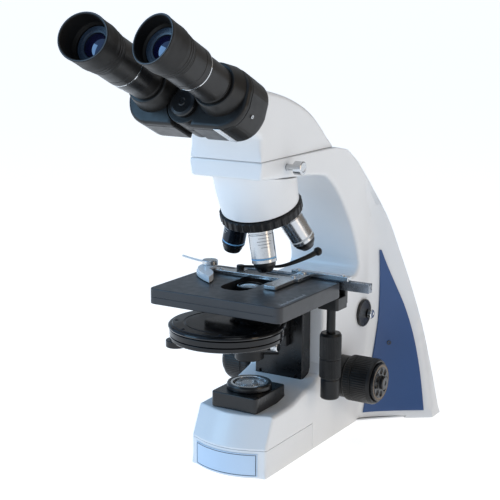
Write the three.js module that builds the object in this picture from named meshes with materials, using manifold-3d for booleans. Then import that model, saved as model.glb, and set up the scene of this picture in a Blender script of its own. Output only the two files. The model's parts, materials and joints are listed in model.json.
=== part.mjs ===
// Binocular phase-contrast microscope, in millimetres, +Z up.
// +X is the user's right, -Y is the side the user sits at, and z = 0 is the table.
// Everything is laid out around the optical axis (x = 0, y = 0); the whole group is then
// moved so that the origin is the middle of the footprint of the bounding box.
import * as THREE from 'three';
import { mergeVertices } from 'three/addons/utils/BufferGeometryUtils.js';
import Module from 'manifold-3d';

const wasm = await Module();
wasm.setup();

// ---------- driving dimensions ----------
const GAP = 0.3; // clearance between touching pieces
const OPTICAL_AXIS_Y = -8.65; // where the optical axis ends up once the origin is centred
const TABLE_TO_BASE = 1.2; // rubber feet lift the base this much
const PLATE_TOP = 3.7;

const BASE_HALF_WIDTH = 42.5;
const COLLAR_HALF_WIDTH = 39.2;
const FOOT_HALF_WIDTH = 109.5;
const BACK_TAPER = 0.235; // loss of rear half width per millimetre of height
const BACK_MIN_HALF_WIDTH = 40;
const HEAD_SEAM_Z = 309.6;
const CLAMP_Z = 300.5;
const COVER_TOP_Z = 30;
const COVER_REAR_Y = 55;
const FRONT_Y = -40; // front corners of the base; its middle bows out from them
const FRONT_BULGE = 11;
const FRONT_CORNER = 5;
const DIAL_Y = 20; // brightness dial, on the left of the base
const DIAL_Z = 42;
const FOOT_R = 7;
const FEET = [
  ['front_right', 29, -20],
  ['front_left', -29, -20],
  ['rear_right', 84, 211],
  ['rear_left', -84, 211],
];

const TUBE_TILT = THREE.MathUtils.degToRad(25); // eyepiece tubes above the horizontal
const PUPIL_HALF = 34.9; // half the eyepiece spacing
const HINGE_DROP = 13.7; // the tubes' hinge axis lies this far under the tube axes
const EYE_POINT = new THREE.Vector3(0, -206.6, 426); // middle of the eyecup rims
const WING_FRONT = 97; // distances down the tube from the eyecup rim
const WING_SHOULDER = 112;
const WING_SPLIT = 131;
const WING_BACK = 150;
const HUB_R = 18;
const PIN_R = 5;
const DIOPTER_SEAT = 78.4; // the left tube starts inside the diopter ring's skirt

const TURRET_TILT = THREE.MathUtils.degToRad(20);
const TURRET_CENTRE = new THREE.Vector3(0, 22.4, 248.3);
const OBJECTIVE_CIRCLE_R = 23.8;
const PARFOCAL = 45;
const TURRET_TURN = THREE.MathUtils.degToRad(24); // rest pose, between click stops

const STAGE = { left: -69.4, right: 75.9, front: -73, rear: 48, bottom: 168.9, top: 184.2, corner: 7 };
const SLOT = { half: 15.6, front: -38, rear: 43 };

const CASE_CENTRE_Y = -42; // middle of the phase turret, in front of the optical axis
const CASE_R = 55.5;
const BARREL_R = 13.2; // the part of the condenser that reaches into the stage slot

const FOCUS_Y = 112;
const FOCUS_Z = 66.5;
const DRIVE_X = 64; // stage drive knobs
const DRIVE_Y = 50;

// ---------- materials ----------
const paint = (color) => new THREE.MeshStandardMaterial({ color, roughness: 0.35, metalness: 0 });
const metal = (color) => new THREE.MeshStandardMaterial({ color, roughness: 0.25, metalness: 1 });
const rubber = (color) => new THREE.MeshStandardMaterial({ color, roughness: 0.85, metalness: 0 });
const glass = (color) => new THREE.MeshStandardMaterial({ color, roughness: 0.05, metalness: 0 });
const WHITE = 0xdfe6ec;
const BLACK = 0x15171a;
const BLUE = 0x35598f;
const SILVER = 0xc9ccd0;

// ---------- solids ----------
const microscope = new THREE.Group();

// A three.js geometry as a manifold solid: shared vertices merged, empty triangles dropped.
// A geometry that a boolean made already shares its vertices.
function solid(geometry) {
  const bare = geometry.clone();
  bare.deleteAttribute('normal');
  bare.deleteAttribute('uv');
  const merged = geometry.userData.shared ? bare : mergeVertices(bare, 1e-4);
  const position = merged.attributes.position;
  const corner = (i) => new THREE.Vector3().fromBufferAttribute(position, i);
  const kept = [];
  let volume = 0;
  for (let t = 0; t < merged.index.count; t += 3) {
    const [a, b, c] = [0, 1, 2].map((k) => merged.index.getX(t + k));
    if (a === b || b === c || c === a) continue;
    kept.push([a, b, c]);
    volume += corner(a).dot(corner(b).cross(corner(c)));
  }
  const facing = volume < 0 ? kept.map(([a, b, c]) => [a, c, b]) : kept;
  return new wasm.Manifold(new wasm.Mesh({
    numProp: 3,
    vertProperties: Float32Array.from(position.array),
    triVerts: Uint32Array.from(facing.flat()),
  }));
}

function geometryOf(body) {
  const mesh = body.getMesh();
  const geometry = new THREE.BufferGeometry();
  geometry.setAttribute('position', new THREE.BufferAttribute(mesh.vertProperties, 3));
  geometry.setIndex(new THREE.BufferAttribute(mesh.triVerts, 1));
  geometry.userData.shared = true;
  return geometry;
}

const join = (first, ...others) => geometryOf(others.reduce((sum, g) => sum.add(solid(g)), solid(first)));
const cut = (first, ...others) =>
  geometryOf(others.reduce((rest, g) => rest.subtract(solid(g)), solid(first)));
const common = (first, second) => geometryOf(solid(first).intersect(solid(second)));

function add(name, geometry, material) {
  const mesh = new THREE.Mesh(geometryOf(solid(geometry)), material);
  mesh.name = name;
  microscope.add(mesh);
}

function box(x0, x1, y0, y1, z0, z1) {
  const geometry = new THREE.BoxGeometry(x1 - x0, y1 - y0, z1 - z0);
  return geometry.translate((x0 + x1) / 2, (y0 + y1) / 2, (z0 + z1) / 2);
}

// A turned piece about +Z. The profile is [radius, z] pairs, from the axis back to the axis,
// or a closed ring of pairs that stays off the axis.
function turned(profile, segments = 16) {
  const points = profile.map(([r, z]) => new THREE.Vector2(r, z));
  if (profile[0][0] > 0) points.push(points[0].clone());
  return new THREE.LatheGeometry(points, segments).rotateX(Math.PI / 2);
}

const disc = (r, z0, z1, segments) => turned([[0, z0], [r, z0], [r, z1], [0, z1]], segments);
const ring = (inner, outer, z0, z1, segments) =>
  turned([[inner, z0], [outer, z0], [outer, z1], [inner, z1]], segments);

const at = (geometry, x, y, z = 0) => geometry.translate(x, y, z);

// Moves a geometry from the local frame (x, y, z) to one whose axes and origin are given.
function placed(geometry, origin, xAxis, yAxis, zAxis) {
  const basis = new THREE.Matrix4().makeBasis(xAxis, yAxis, zAxis).setPosition(origin);
  return geometry.applyMatrix4(basis);
}

const X = new THREE.Vector3(1, 0, 0);
const Y = new THREE.Vector3(0, 1, 0);
const Z = new THREE.Vector3(0, 0, 1);
const along = (geometry, sign = 1) => geometry.rotateY(sign * Math.PI / 2); // +Z becomes +X or -X

function extruded(shape, depth, curveSegments = 6, bevel = 0) {
  return new THREE.ExtrudeGeometry(shape, {
    depth: depth - 2 * bevel,
    curveSegments,
    bevelEnabled: bevel > 0,
    bevelSize: bevel,
    bevelThickness: bevel,
    bevelOffset: -bevel,
    bevelSegments: 2,
    steps: 1,
  }).translate(0, 0, bevel);
}

const outline = (points) => new THREE.Shape(points.map(([a, b]) => new THREE.Vector2(a, b)));

// An outline in the Y-Z plane, extruded across X.
const acrossX = (shape, x0, x1, bevel = 0) =>
  placed(extruded(shape, x1 - x0, 6, bevel), new THREE.Vector3(x0, 0, 0), Y, Z, X);

// An outline in plan, extruded up Z.
const upZ = (shape, z0, z1, segments = 6) => extruded(shape, z1 - z0, segments).translate(0, 0, z0);

function roundedRect(x0, x1, y0, y1, r) {
  const shape = new THREE.Shape();
  shape.moveTo(x0 + r, y0).lineTo(x1 - r, y0).absarc(x1 - r, y0 + r, r, -Math.PI / 2, 0);
  shape.lineTo(x1, y1 - r).absarc(x1 - r, y1 - r, r, 0, Math.PI / 2);
  shape.lineTo(x0 + r, y1).absarc(x0 + r, y1 - r, r, Math.PI / 2, Math.PI);
  shape.lineTo(x0, y0 + r).absarc(x0 + r, y0 + r, r, Math.PI, Math.PI * 1.5);
  return shape;
}

// A closed skin through level rings of points that all have the same count, bottom first.
function loft(levels) {
  const flat = (list) => list.map((p) => new THREE.Vector2(p.x, p.y));
  const turnedBack = THREE.ShapeUtils.isClockWise(flat(levels[0]));
  const rings = levels.map((list) => (turnedBack ? [...list].reverse() : list));
  const count = rings[0].length;
  const positions = rings.flat().flatMap((p) => [p.x, p.y, p.z]);
  const index = [];
  for (let level = 0; level + 1 < rings.length; level += 1) {
    for (let i = 0; i < count; i += 1) {
      const a = level * count + i;
      const b = level * count + (i + 1) % count;
      index.push(a, b, b + count, a, b + count, a + count);
    }
  }
  const last = (rings.length - 1) * count;
  const bottoms = THREE.ShapeUtils.triangulateShape(flat(rings[0]), []);
  const tops = THREE.ShapeUtils.triangulateShape(flat(rings[rings.length - 1]), []);
  bottoms.forEach(([a, b, c]) => index.push(a, c, b));
  tops.forEach(([a, b, c]) => index.push(last + a, last + b, last + c));
  const geometry = new THREE.BufferGeometry();
  geometry.setAttribute('position', new THREE.Float32BufferAttribute(positions, 3));
  geometry.setIndex(index);
  return geometry;
}

// A rod whose radius changes along a path.
function taperedRod(points, radii, steps = 18, sides = 10) {
  const path = new THREE.CatmullRomCurve3(points);
  const frames = path.computeFrenetFrames(steps);
  const rings = [];
  for (let i = 0; i <= steps; i += 1) {
    const share = (i / steps) * (radii.length - 1);
    const low = Math.min(Math.floor(share), radii.length - 2);
    const radius = THREE.MathUtils.lerp(radii[low], radii[low + 1], share - low);
    const middle = path.getPoint(i / steps);
    rings.push(Array.from({ length: sides }, (_, k) => {
      const angle = (k / sides) * Math.PI * 2;
      return middle.clone()
        .addScaledVector(frames.normals[i], radius * Math.cos(angle))
        .addScaledVector(frames.binormals[i], radius * Math.sin(angle));
    }));
  }
  const index = [];
  for (let level = 0; level < steps; level += 1) {
    for (let k = 0; k < sides; k += 1) {
      const a = level * sides + k;
      const b = level * sides + (k + 1) % sides;
      index.push(a, b, b + sides, a, b + sides, a + sides);
    }
  }
  const end = steps * sides;
  for (let k = 1; k + 1 < sides; k += 1) {
    index.push(0, k + 1, k);
    index.push(end, end + k, end + k + 1);
  }
  const geometry = new THREE.BufferGeometry();
  geometry.setAttribute('position',
    new THREE.Float32BufferAttribute(rings.flat().flatMap((p) => [p.x, p.y, p.z]), 3));
  geometry.setIndex(index);
  return geometry;
}

// ---------- stand ----------
const backHalfWidth = (z) => Math.max(BACK_MIN_HALF_WIDTH, FOOT_HALF_WIDTH - BACK_TAPER * z);
const REAR_EDGE = new THREE.SplineCurve([
  [232.8, 0], [233.5, 54], [231, 101], [221, 149], [208, 191], [197, 222], [175, 256], [151, 287], [120, 305],
].map(([y, z]) => new THREE.Vector2(y, z)));

function rearY(z) {
  const points = REAR_EDGE.getPoints(60);
  const above = points.findIndex((p) => p.y >= z);
  if (above <= 0) return above === 0 ? points[0].x : points[points.length - 1].x;
  const [p, q] = [points[above - 1], points[above]];
  return THREE.MathUtils.mapLinear(z, p.y, q.y, p.x, q.x);
}

const rimThickness = (z) => Math.max(3, 22 - z * 0.15); // rear rim, front to back
const flareStart = (z) => Math.min(158 + Math.min(z, 110) * 0.2, rearY(z) - rimThickness(z) - 4);

// The flared flank at height z: from the flat side to the rear rim, u from 0 to 1.
function flank(z, u) {
  const start = new THREE.Vector2(BASE_HALF_WIDTH, flareStart(z));
  const width = Math.max(backHalfWidth(z), BASE_HALF_WIDTH + 0.5);
  const end = new THREE.Vector2(width, rearY(z) - rimThickness(z));
  const bend = new THREE.Vector2(start.x + (end.x - start.x) * 0.12, start.y + (end.y - start.y) * 0.3);
  return new THREE.QuadraticBezierCurve(start, bend, end).getPoint(u);
}

function planOutline(z) {
  const collar = THREE.MathUtils.smoothstep(z, 150, 284);
  const half = THREE.MathUtils.lerp(BASE_HALF_WIDTH, COLLAR_HALF_WIDTH, collar);
  const slope = 14 * THREE.MathUtils.clamp((z - 32) / 29, 0, 1);
  const bulge = FRONT_BULGE * (1 - collar);
  const front = THREE.MathUtils.lerp(FRONT_Y + slope, -45, collar);
  const right = [];
  for (let i = 0; i <= 4; i += 1) {
    const share = i / 4;
    right.push([share * (half - FRONT_CORNER), front - bulge * (1 - share * share)]);
  }
  right.push([half - FRONT_CORNER * 0.29, front + FRONT_CORNER * 0.29]);
  right.push([half, front + FRONT_CORNER]);
  right.push([BASE_HALF_WIDTH, 90]);
  for (let i = 0; i <= 5; i += 1) {
    const p = flank(z, i / 5);
    right.push([p.x, p.y]);
  }
  right.push([Math.max(backHalfWidth(z), BASE_HALF_WIDTH + 0.5), 250]);
  const left = right.slice(1).reverse().map(([x, y]) => [-x, y]);
  return [...right, ...left].map(([x, y]) => new THREE.Vector3(x, y, z));
}

function standBlock() {
  const profile = new THREE.Shape();
  profile.moveTo(-60, TABLE_TO_BASE).lineTo(-60, 61).lineTo(-20, 61).lineTo(12, 62.5);
  profile.lineTo(34.5, 68.4).lineTo(55.4, 73).lineTo(72, 77.6).lineTo(75, 86).lineTo(75, 148);
  profile.quadraticCurveTo(76, 160, 92, 166).lineTo(146, 168);
  profile.quadraticCurveTo(157, 171, 155, 182.4).quadraticCurveTo(146, 212, 123.6, 239);
  profile.quadraticCurveTo(100, 270, 78.7, 281).quadraticCurveTo(70, 285, 21, 288);
  profile.lineTo(-60, 293.5).lineTo(-60, HEAD_SEAM_Z - GAP).lineTo(96, HEAD_SEAM_Z - GAP).lineTo(120, 304.5);
  REAR_EDGE.getPoints(26).reverse().slice(1).filter((p) => p.y > TABLE_TO_BASE)
    .forEach((p) => profile.lineTo(p.x, p.y));
  profile.lineTo(232.8, TABLE_TO_BASE);
  const side = acrossX(profile, -130, 130);
  const levels = [-1, 30, 61, 90, 120, 150, 180, 205, 230, 250, 270, 290, 315];
  return common(side, loft(levels.map(planOutline)));
}

const frontCoverRegion = (grow) => box(-60, 60, -70, COVER_REAR_Y - grow, -5, COVER_TOP_Z - grow);

// The base plate closes the underside; grow widens its outline for the recess that it sits in.
function basePlate(grow, z0, z1) {
  const half = 36 + grow;
  const foot = 92 + grow;
  return upZ(outline([
    [-half, -33 - grow], [half, -33 - grow], [half, 150], [foot, 204 - grow], [foot, 219 + grow],
    [-foot, 219 + grow], [-foot, 204 - grow], [-half, 150],
  ]), z0, z1);
}

function standCasting(block) {
  const body = cut(
    block,
    basePlate(0.6, -5, PLATE_TOP + GAP),
    frontCoverRegion(-GAP / 2),
    box(-37.5, 37.5, COVER_REAR_Y + 3, 205, -5, 26), // underside pocket for the power board
    box(-26.4, 26.4, -30.4, 27.4, 61.2, 90), // seat of the illuminator block
    box(-28.5, 28.5, 57.3, 75, 51, 100), // well that the stage carrier sinks into
    disc(20, 20, 70), // lamp chamber on the optical axis
    disc(25, 296.4, 320, 24), // dovetail socket of the head
    disc(16, 280, 300), // light path through the arm
    at(along(disc(8.2, -140, 140)), 0, FOCUS_Y, FOCUS_Z), // focus axle bore
    box(-50, 50, 228, 240, 14, 62), // rear panel recess
    box(-40, 40, 196, 240, 18, 50), // behind the rear panel, for the inlet and switch
    at(along(disc(3.3, 20, 60, 16)), 0, 0, CLAMP_Z),
    at(along(disc(7.2, -50, -30, 16)), 0, DIAL_Y, DIAL_Z), // brightness dial hole
  );
  return join(body, box(-12, 12, 68, 75.3, 84, 146)); // dovetail rail that the stage rides on
}

function frontCover(block) {
  const outer = common(block, frontCoverRegion(GAP / 2));
  const inner = box(-39.5, 39.5, -37, 70, -5, 27);
  return cut(outer, inner, disc(20, 20, 24), at(along(disc(7.2, -50, -30, 16)), 0, DIAL_Y, DIAL_Z));
}

function stand() {
  const block = standBlock();
  add('stand_casting', standCasting(block), paint(WHITE));
  add('base_front_cover', frontCover(block), paint(WHITE));
  const plateBottom = PLATE_TOP - 1.5;
  add('base_plate', basePlate(0, plateBottom, PLATE_TOP), metal(0x5a5d60));
  FEET.forEach(([corner, x, y]) => {
    add(`foot_${corner}`, at(disc(FOOT_R, 0, plateBottom - GAP, 16), x, y), rubber(0x202020));
  });
  add('front_label_plate', frontPlate(), paint(0x9fb4cc));
  [1, -1].forEach((side) => {
    add(side > 0 ? 'side_panel_right' : 'side_panel_left', sidePanel(side), paint(BLUE));
  });
  add('rear_panel', cut(
    box(-49.7, 49.7, 228.3, 231, 14.3, 61.7),
    box(-30, -4, 220, 240, 22, 46),
    box(12, 32, 220, 240, 26, 42),
  ), rubber(0x222426));
  add('power_inlet', cut(
    box(-29.7, -4.3, 208, 231.5, 22.3, 45.7),
    box(-27, -7, 214, 240, 25, 43),
  ), rubber(0x111111));
  add('power_switch', at(along(disc(7.6, -9.6, 9.6, 16)), 22, 226.5, 34), rubber(0x111111));
  const led = join(disc(19.6, 30.2, 38), disc(12, 38, 46), box(-2, 2, -2, 2, 46, 48));
  add('led_module', led, metal(0x8a8d90));
  const dial = join(disc(9, 43, 52, 16), disc(6.5, 34, 43, 16));
  add('brightness_dial', at(along(dial, -1), 0, DIAL_Y, DIAL_Z), rubber(BLACK));
}

// The blank plate on the front of the base follows the curve of the cover.
function frontPlate() {
  const grid = (offset, z) => Array.from({ length: 9 }, (_, i) => {
    const x = -35 + i * 8.75;
    const share = Math.abs(x) / (BASE_HALF_WIDTH - FRONT_CORNER);
    return new THREE.Vector3(x, FRONT_Y - FRONT_BULGE * (1 - share * share) - offset, z);
  });
  const ringAt = (z) => [...grid(1.1, z), ...grid(GAP, z).reverse()];
  return loft([ringAt(4), ringAt(27)]);
}

// Blue panel on a flank: a thin sheet that stands just off the casting.
function sidePanel(side) {
  const bottom = 10;
  const top = 188;
  const rows = 10;
  const columns = 5;
  const sheet = (z, offset) => {
    const share = (z - bottom) / (top - bottom);
    const from = 0.14 + 0.33 * share;
    const to = 0.93 - 0.4 * share ** 3;
    return Array.from({ length: columns }, (_, i) => {
      const u = THREE.MathUtils.lerp(from, to, i / (columns - 1));
      const p = flank(z, u);
      const ahead = flank(z, u + 0.02).sub(p).normalize();
      return new THREE.Vector3(side * (p.x + ahead.y * offset), p.y - ahead.x * offset, z);
    });
  };
  const ringAt = (z) => {
    const edge = [...sheet(z, 1.1), ...sheet(z, 2.3).reverse()];
    return side > 0 ? edge : edge.reverse();
  };
  const heights = Array.from({ length: rows }, (_, i) => THREE.MathUtils.lerp(bottom, top, i / (rows - 1)));
  return loft(heights.map(ringAt));
}

// ---------- illuminator ----------
function illuminator() {
  const block = upZ(roundedRect(-26, 26, -30, 27, 3), 61.5, 77);
  add('illuminator_block', cut(block, disc(17, 50, 90)), paint(BLACK));
  add('field_diaphragm_ring', ring(17.5, 22.5, 77.3, 83, 28), paint(BLACK));
  const lens = turned([[0, 73.5], [16.3, 73.5], [16.3, 80], [11, 81.6], [0, 82.4]], 20);
  add('field_lens', lens, glass(0xdfe8ee));
}

// ---------- binocular head ----------
const TUBE_DIR = new THREE.Vector3(0, -Math.cos(TUBE_TILT), Math.sin(TUBE_TILT)); // towards the eye
const TUBE_UP = new THREE.Vector3(0, Math.sin(TUBE_TILT), Math.cos(TUBE_TILT));

// Head pieces are drawn in (x, up, s), with s measured down the tube from the eyecup rim.
function inHead(geometry, x = 0, up = 0) {
  const origin = EYE_POINT.clone().addScaledVector(X, x).addScaledVector(TUBE_UP, up);
  return placed(geometry, origin, X, TUBE_UP.clone(), TUBE_DIR.clone().negate());
}

function headHousing() {
  const corner = (s, up) => {
    const p = EYE_POINT.clone().addScaledVector(TUBE_DIR, -s).addScaledVector(TUBE_UP, up);
    return [p.y, p.z];
  };
  const profile = outline([
    [-45, HEAD_SEAM_Z], [-45, 332], corner(WING_BACK + GAP, -21), corner(WING_BACK + GAP, 20),
    [-38, 375], [-15, 370.5], [8, 364.5], [33, 355.5], [52, 346], [70, 333], [84, 321], [94, HEAD_SEAM_Z],
  ]);
  const shell = acrossX(profile, -39, 39, 3);
  const pinHole = inHead(disc(PIN_R + GAP, 140, 166, 14), 0, -HINGE_DROP);
  return cut(join(shell, disc(22, 297, 320, 24)), disc(16, 290, 340), pinHole);
}

function wing(side) {
  const shape = new THREE.Shape();
  shape.moveTo(9, -20.3).lineTo(40, -20.3).quadraticCurveTo(58, -18, 62, 2).lineTo(62, 16);
  shape.quadraticCurveTo(60, 31, 45, 35.5).absarc(PUPIL_HALF, HINGE_DROP, 24, Math.PI * 0.36, Math.PI);
  shape.lineTo(9, 2);
  const slab = (from, to) => extruded(shape, to - from, 8).translate(0, 0, from);
  const ownHub = side > 0 ? [WING_SHOULDER, WING_SPLIT - GAP] : [WING_SPLIT, WING_BACK];
  const otherHub = side > 0 ? [WING_SPLIT - GAP, WING_BACK + 1] : [WING_SHOULDER - 1, WING_SPLIT];
  const collar = at(turned([
    [0, WING_FRONT], [20.5, WING_FRONT], [24, WING_SHOULDER], [24, WING_SHOULDER + 4], [0, WING_SHOULDER + 4],
  ]), PUPIL_HALF, HINGE_DROP);
  const body = join(slab(WING_SHOULDER, WING_BACK), collar, disc(HUB_R, ...ownHub));
  const pinBore = disc(PIN_R + GAP, WING_FRONT - 5, WING_BACK + 5, 14);
  const lightBore = at(disc(12, WING_FRONT - 5, WING_BACK - 14, 16), PUPIL_HALF, HINGE_DROP);
  const right = cut(body, disc(HUB_R + 0.6, ...otherHub), pinBore, lightBore);
  return inHead(side > 0 ? right : geometryOf(solid(right.scale(-1, 1, 1))), 0, -HINGE_DROP);
}

function eyecup(side) {
  const cup = turned([
    [19.6, -12], [22, -12], [22, 24], [20.5, 30], [20.2, 34], [17.6, 34], [17.6, 17], [19.6, 14],
  ], 24);
  const tilt = THREE.MathUtils.degToRad(12);
  const above = box(-60, 60, -60, 60, -60, 0).rotateY(side * tilt);
  return inHead(cut(cup, above), side * PUPIL_HALF);
}

function eyepieceTube(side) {
  const wall = ring(14.6, 17.5, side > 0 ? 63 : DIOPTER_SEAT, WING_FRONT - GAP);
  return inHead(wall, side * PUPIL_HALF);
}

function eyepiece(side) {
  const shoulder = 62;
  const barrel = turned([
    [11.2, 18.5], [17.2, 18.5], [17.2, 34.3], [19.4, 34.3],
    [19.4, shoulder], [14.2, shoulder], [14.2, 92], [11.2, 92],
  ]);
  return inHead(barrel, side * PUPIL_HALF);
}

function eyeLens(side) {
  const lens = turned([[0, 16.4], [7, 17.2], [10.8, 18.8], [10.8, 26], [0, 26]]);
  return inHead(lens, side * PUPIL_HALF);
}

function head() {
  add('head_housing', headHousing(), paint(WHITE));
  add('hinge_pin', inHead(join(
    turned([[0, 106], [11, 106], [12.8, 108], [12.8, WING_SHOULDER - GAP], [0, WING_SHOULDER - GAP]], 24),
    disc(PIN_R, 110, 164, 14),
  ), 0, -HINGE_DROP), paint(BLACK));
  [1, -1].forEach((side) => {
    const hand = side > 0 ? 'right' : 'left';
    add(`prism_wing_${hand}`, wing(side), paint(BLACK));
    add(`eyepiece_tube_${hand}`, eyepieceTube(side), paint(BLACK));
    add(`eyepiece_${hand}`, eyepiece(side), paint(BLACK));
    add(`eyecup_${hand}`, eyecup(side), rubber(BLACK));
    add(`eye_lens_${hand}`, eyeLens(side), glass(0x8fb4e8));
  });
  const diopter = turned([
    [14.6, 62.4], [19, 62.4], [19, 81.4], [17.9, 81.4], [17.9, 75.4], [14.6, 75.4],
  ], 24);
  add('diopter_ring', inHead(diopter, -PUPIL_HALF), paint(BLACK));
  const screw = join(disc(3, 23, 48, 16), disc(6.5, 48, 58, 16));
  add('head_clamp_screw', at(along(screw), 0, 0, CLAMP_Z), metal(SILVER));
}

// ---------- nosepiece ----------
const TURRET_AXIS = new THREE.Vector3(0, Math.sin(TURRET_TILT), -Math.cos(TURRET_TILT));
const TURRET_Y = new THREE.Vector3(0, -Math.cos(TURRET_TILT), -Math.sin(TURRET_TILT));

// Turret pieces are drawn with z along the turret's axis and y towards the working position.
const inTurret = (geometry) => placed(geometry, TURRET_CENTRE, X, TURRET_Y, TURRET_AXIS);

function nosepieceMount() {
  const cone = inTurret(turned([[0, -70], [40, -70], [40, -34], [38.5, -11.6], [0, -11.6]], 28));
  const underArm = acrossX(outline([
    [-70, 200], [90, 200], [90, 281.9], [60, 283.8], [21, 287.6], [-70, 293.6],
  ]), -60, 60);
  const axleHole = inTurret(disc(5.3, -40, 0, 16));
  return cut(common(cone, underArm), disc(15, 220, 320), axleHole);
}

const OBJECTIVES = [
  { name: 'objective_40x', angle: 0, barrel: 12.2, nose: 7, length: PARFOCAL },
  { name: 'objective_100x', angle: 90, barrel: 12.2, nose: 6.5, length: PARFOCAL },
  { name: 'objective_4x', angle: 180, barrel: 12.2, nose: 10, length: 30 },
  { name: 'objective_10x', angle: 270, barrel: 11.6, nose: 8.5, length: 38 },
];

function objective(spec) {
  const tip = spec.length;
  return turned([
    [0, -4], [9, -4], [9, 0.4], [spec.barrel, 0.4], [spec.barrel, tip * 0.72],
    [(spec.barrel + spec.nose) / 2, tip - 4], [spec.nose, tip], [0, tip],
  ]);
}

function turret() {
  const seat = () => join(disc(9.4, -20, 1, 16), disc(12.7, 0.1, 20, 16));
  const inner = inTurret(join(
    ring(30, 41, -11, -1, 28),
    disc(30.5, -8, -3, 20),
    disc(5, -30, -5, 16),
  ));
  const pockets = OBJECTIVES.map((spec) => objectivePlace(seat(), spec));
  const pads = OBJECTIVES.map((spec) => objectivePlace(disc(13.2, -6, 0, 16), spec));
  add('nosepiece_turret', cut(join(inner, ...pads), ...pockets), paint(BLACK));
  OBJECTIVES.forEach((spec) => add(spec.name, objectivePlace(objective(spec), spec), metal(SILVER)));
}

// Objectives stand square to a cone, so that the one in use is upright.
function objectivePlace(geometry, spec) {
  const phi = THREE.MathUtils.degToRad(spec.angle) + TURRET_TURN;
  const out = new THREE.Vector3().addScaledVector(TURRET_Y, Math.cos(phi)).addScaledVector(X, Math.sin(phi));
  const down = new THREE.Vector3().addScaledVector(TURRET_AXIS, Math.cos(TURRET_TILT))
    .addScaledVector(out, Math.sin(TURRET_TILT)).normalize();
  const shoulder = TURRET_CENTRE.clone().addScaledVector(out, OBJECTIVE_CIRCLE_R);
  const across = new THREE.Vector3().crossVectors(down, out).normalize();
  const toward = new THREE.Vector3().crossVectors(down, across).normalize();
  return placed(geometry, shoulder, across, toward, down);
}

// ---------- stage ----------
function stage() {
  const carrier = join(
    box(-28, 28, 58, 74.6, 69, 168.6),
    box(-40, 40, -22, 74.6, 163, 168.6),
  );
  const railSlot = box(-12.4, 12.4, 67.6, 90, 50, 162.6); // clears the rail's top at the lowest focus
  add('stage_carrier', cut(carrier, disc(20, 150, 175), railSlot), paint(BLACK));

  const edge = roundedRect(STAGE.left, STAGE.right, STAGE.front, STAGE.rear, STAGE.corner);
  const slot = roundedRect(-SLOT.half, SLOT.half, SLOT.front, SLOT.rear, SLOT.half - 0.2);
  add('stage_plate', cut(upZ(edge, STAGE.bottom, STAGE.top), upZ(slot, 160, 190, 8)), paint(0x24282e));
  add('stage_rail', cut(
    box(-45, 105, STAGE.rear + GAP, 56, 176, 185),
    box(-60, 110, 54.4, 60, 179, 182),
  ), metal(0x9aa0a6));
  add('drive_bracket', cut(
    join(box(53, 76, 40, 62, 156, 168.6), box(53, 76, 56.3, 62, 160, 184)),
    at(disc(4.8, 150, 166), DRIVE_X, DRIVE_Y),
  ), paint(0x2a2724));
  const sleeve = turned([[3.4, 85], [11, 85], [11, 129], [9.6, 131], [4.5, 131], [4.5, 158], [3.4, 158]]);
  add('stage_y_knob', at(sleeve, DRIVE_X, DRIVE_Y), paint(BLACK));
  const inner = turned([[0, 63], [8.6, 63], [9.5, 64.5], [9.5, 84.7], [3, 84.7], [3, 162], [0, 162]]);
  add('stage_x_knob', at(inner, DRIVE_X, DRIVE_Y), paint(BLACK));

  const holder = join(
    box(-64, 40, 13, 24, 185, 188.4),
    box(26, 40, -19, 14, 185, 188.4),
    box(28, 43, 20, 50, 185, 188.4),
    box(20, 84, 46, 53.6, 185.6, 190.2),
    box(-34, -22, 22, 33, 185, 188.4),
  );
  add('slide_holder', holder, metal(SILVER));
  add('holder_finger', finger(), metal(SILVER));
  add('holder_lever', lever(), paint(BLACK));
}

const FINGER_PIVOT = new THREE.Vector2(-58, 18);
const LEVER_PIVOT = new THREE.Vector2(-28, 28);

function finger() {
  const claw = new THREE.Shape();
  claw.moveTo(-66, 18).quadraticCurveTo(-68, -4, -30, -27).quadraticCurveTo(-32, -8, -50, 4).lineTo(-50, 18);
  claw.absarc(FINGER_PIVOT.x, FINGER_PIVOT.y, 8, 0, Math.PI);
  const foot = new THREE.Shape();
  foot.moveTo(-65.6, 8).quadraticCurveTo(-63, -8, -30, -27).quadraticCurveTo(-32, -8, -50, 4).lineTo(-50, 8);
  const handle = [
    new THREE.Vector3(-64, 17, 194), new THREE.Vector3(-76, 15, 195.5), new THREE.Vector3(-88, 13, 198),
  ];
  return join(
    upZ(claw, 188.8, 191.4),
    upZ(foot, 185, 189),
    at(disc(8, 191, 197, 16), FINGER_PIVOT.x, FINGER_PIVOT.y),
    taperedRod(handle, [1.1, 1.1], 4, 8),
  );
}

function lever() {
  const end = new THREE.Vector3(34, 76, 205);
  const path = [
    new THREE.Vector3(LEVER_PIVOT.x, LEVER_PIVOT.y, 191.4), new THREE.Vector3(-1.5, 38, 192.2),
    new THREE.Vector3(12, 47, 193.4), new THREE.Vector3(27, 66, 200), end,
  ];
  const ball = new THREE.SphereGeometry(4.5, 12, 8).translate(end.x, end.y, end.z);
  return join(
    taperedRod(path, [1.3, 1.4, 1.9, 2.6, 2.8], 12, 7),
    ball,
    at(disc(4, 188.8, 192.6, 14), LEVER_PIVOT.x, LEVER_PIVOT.y),
  );
}

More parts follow.
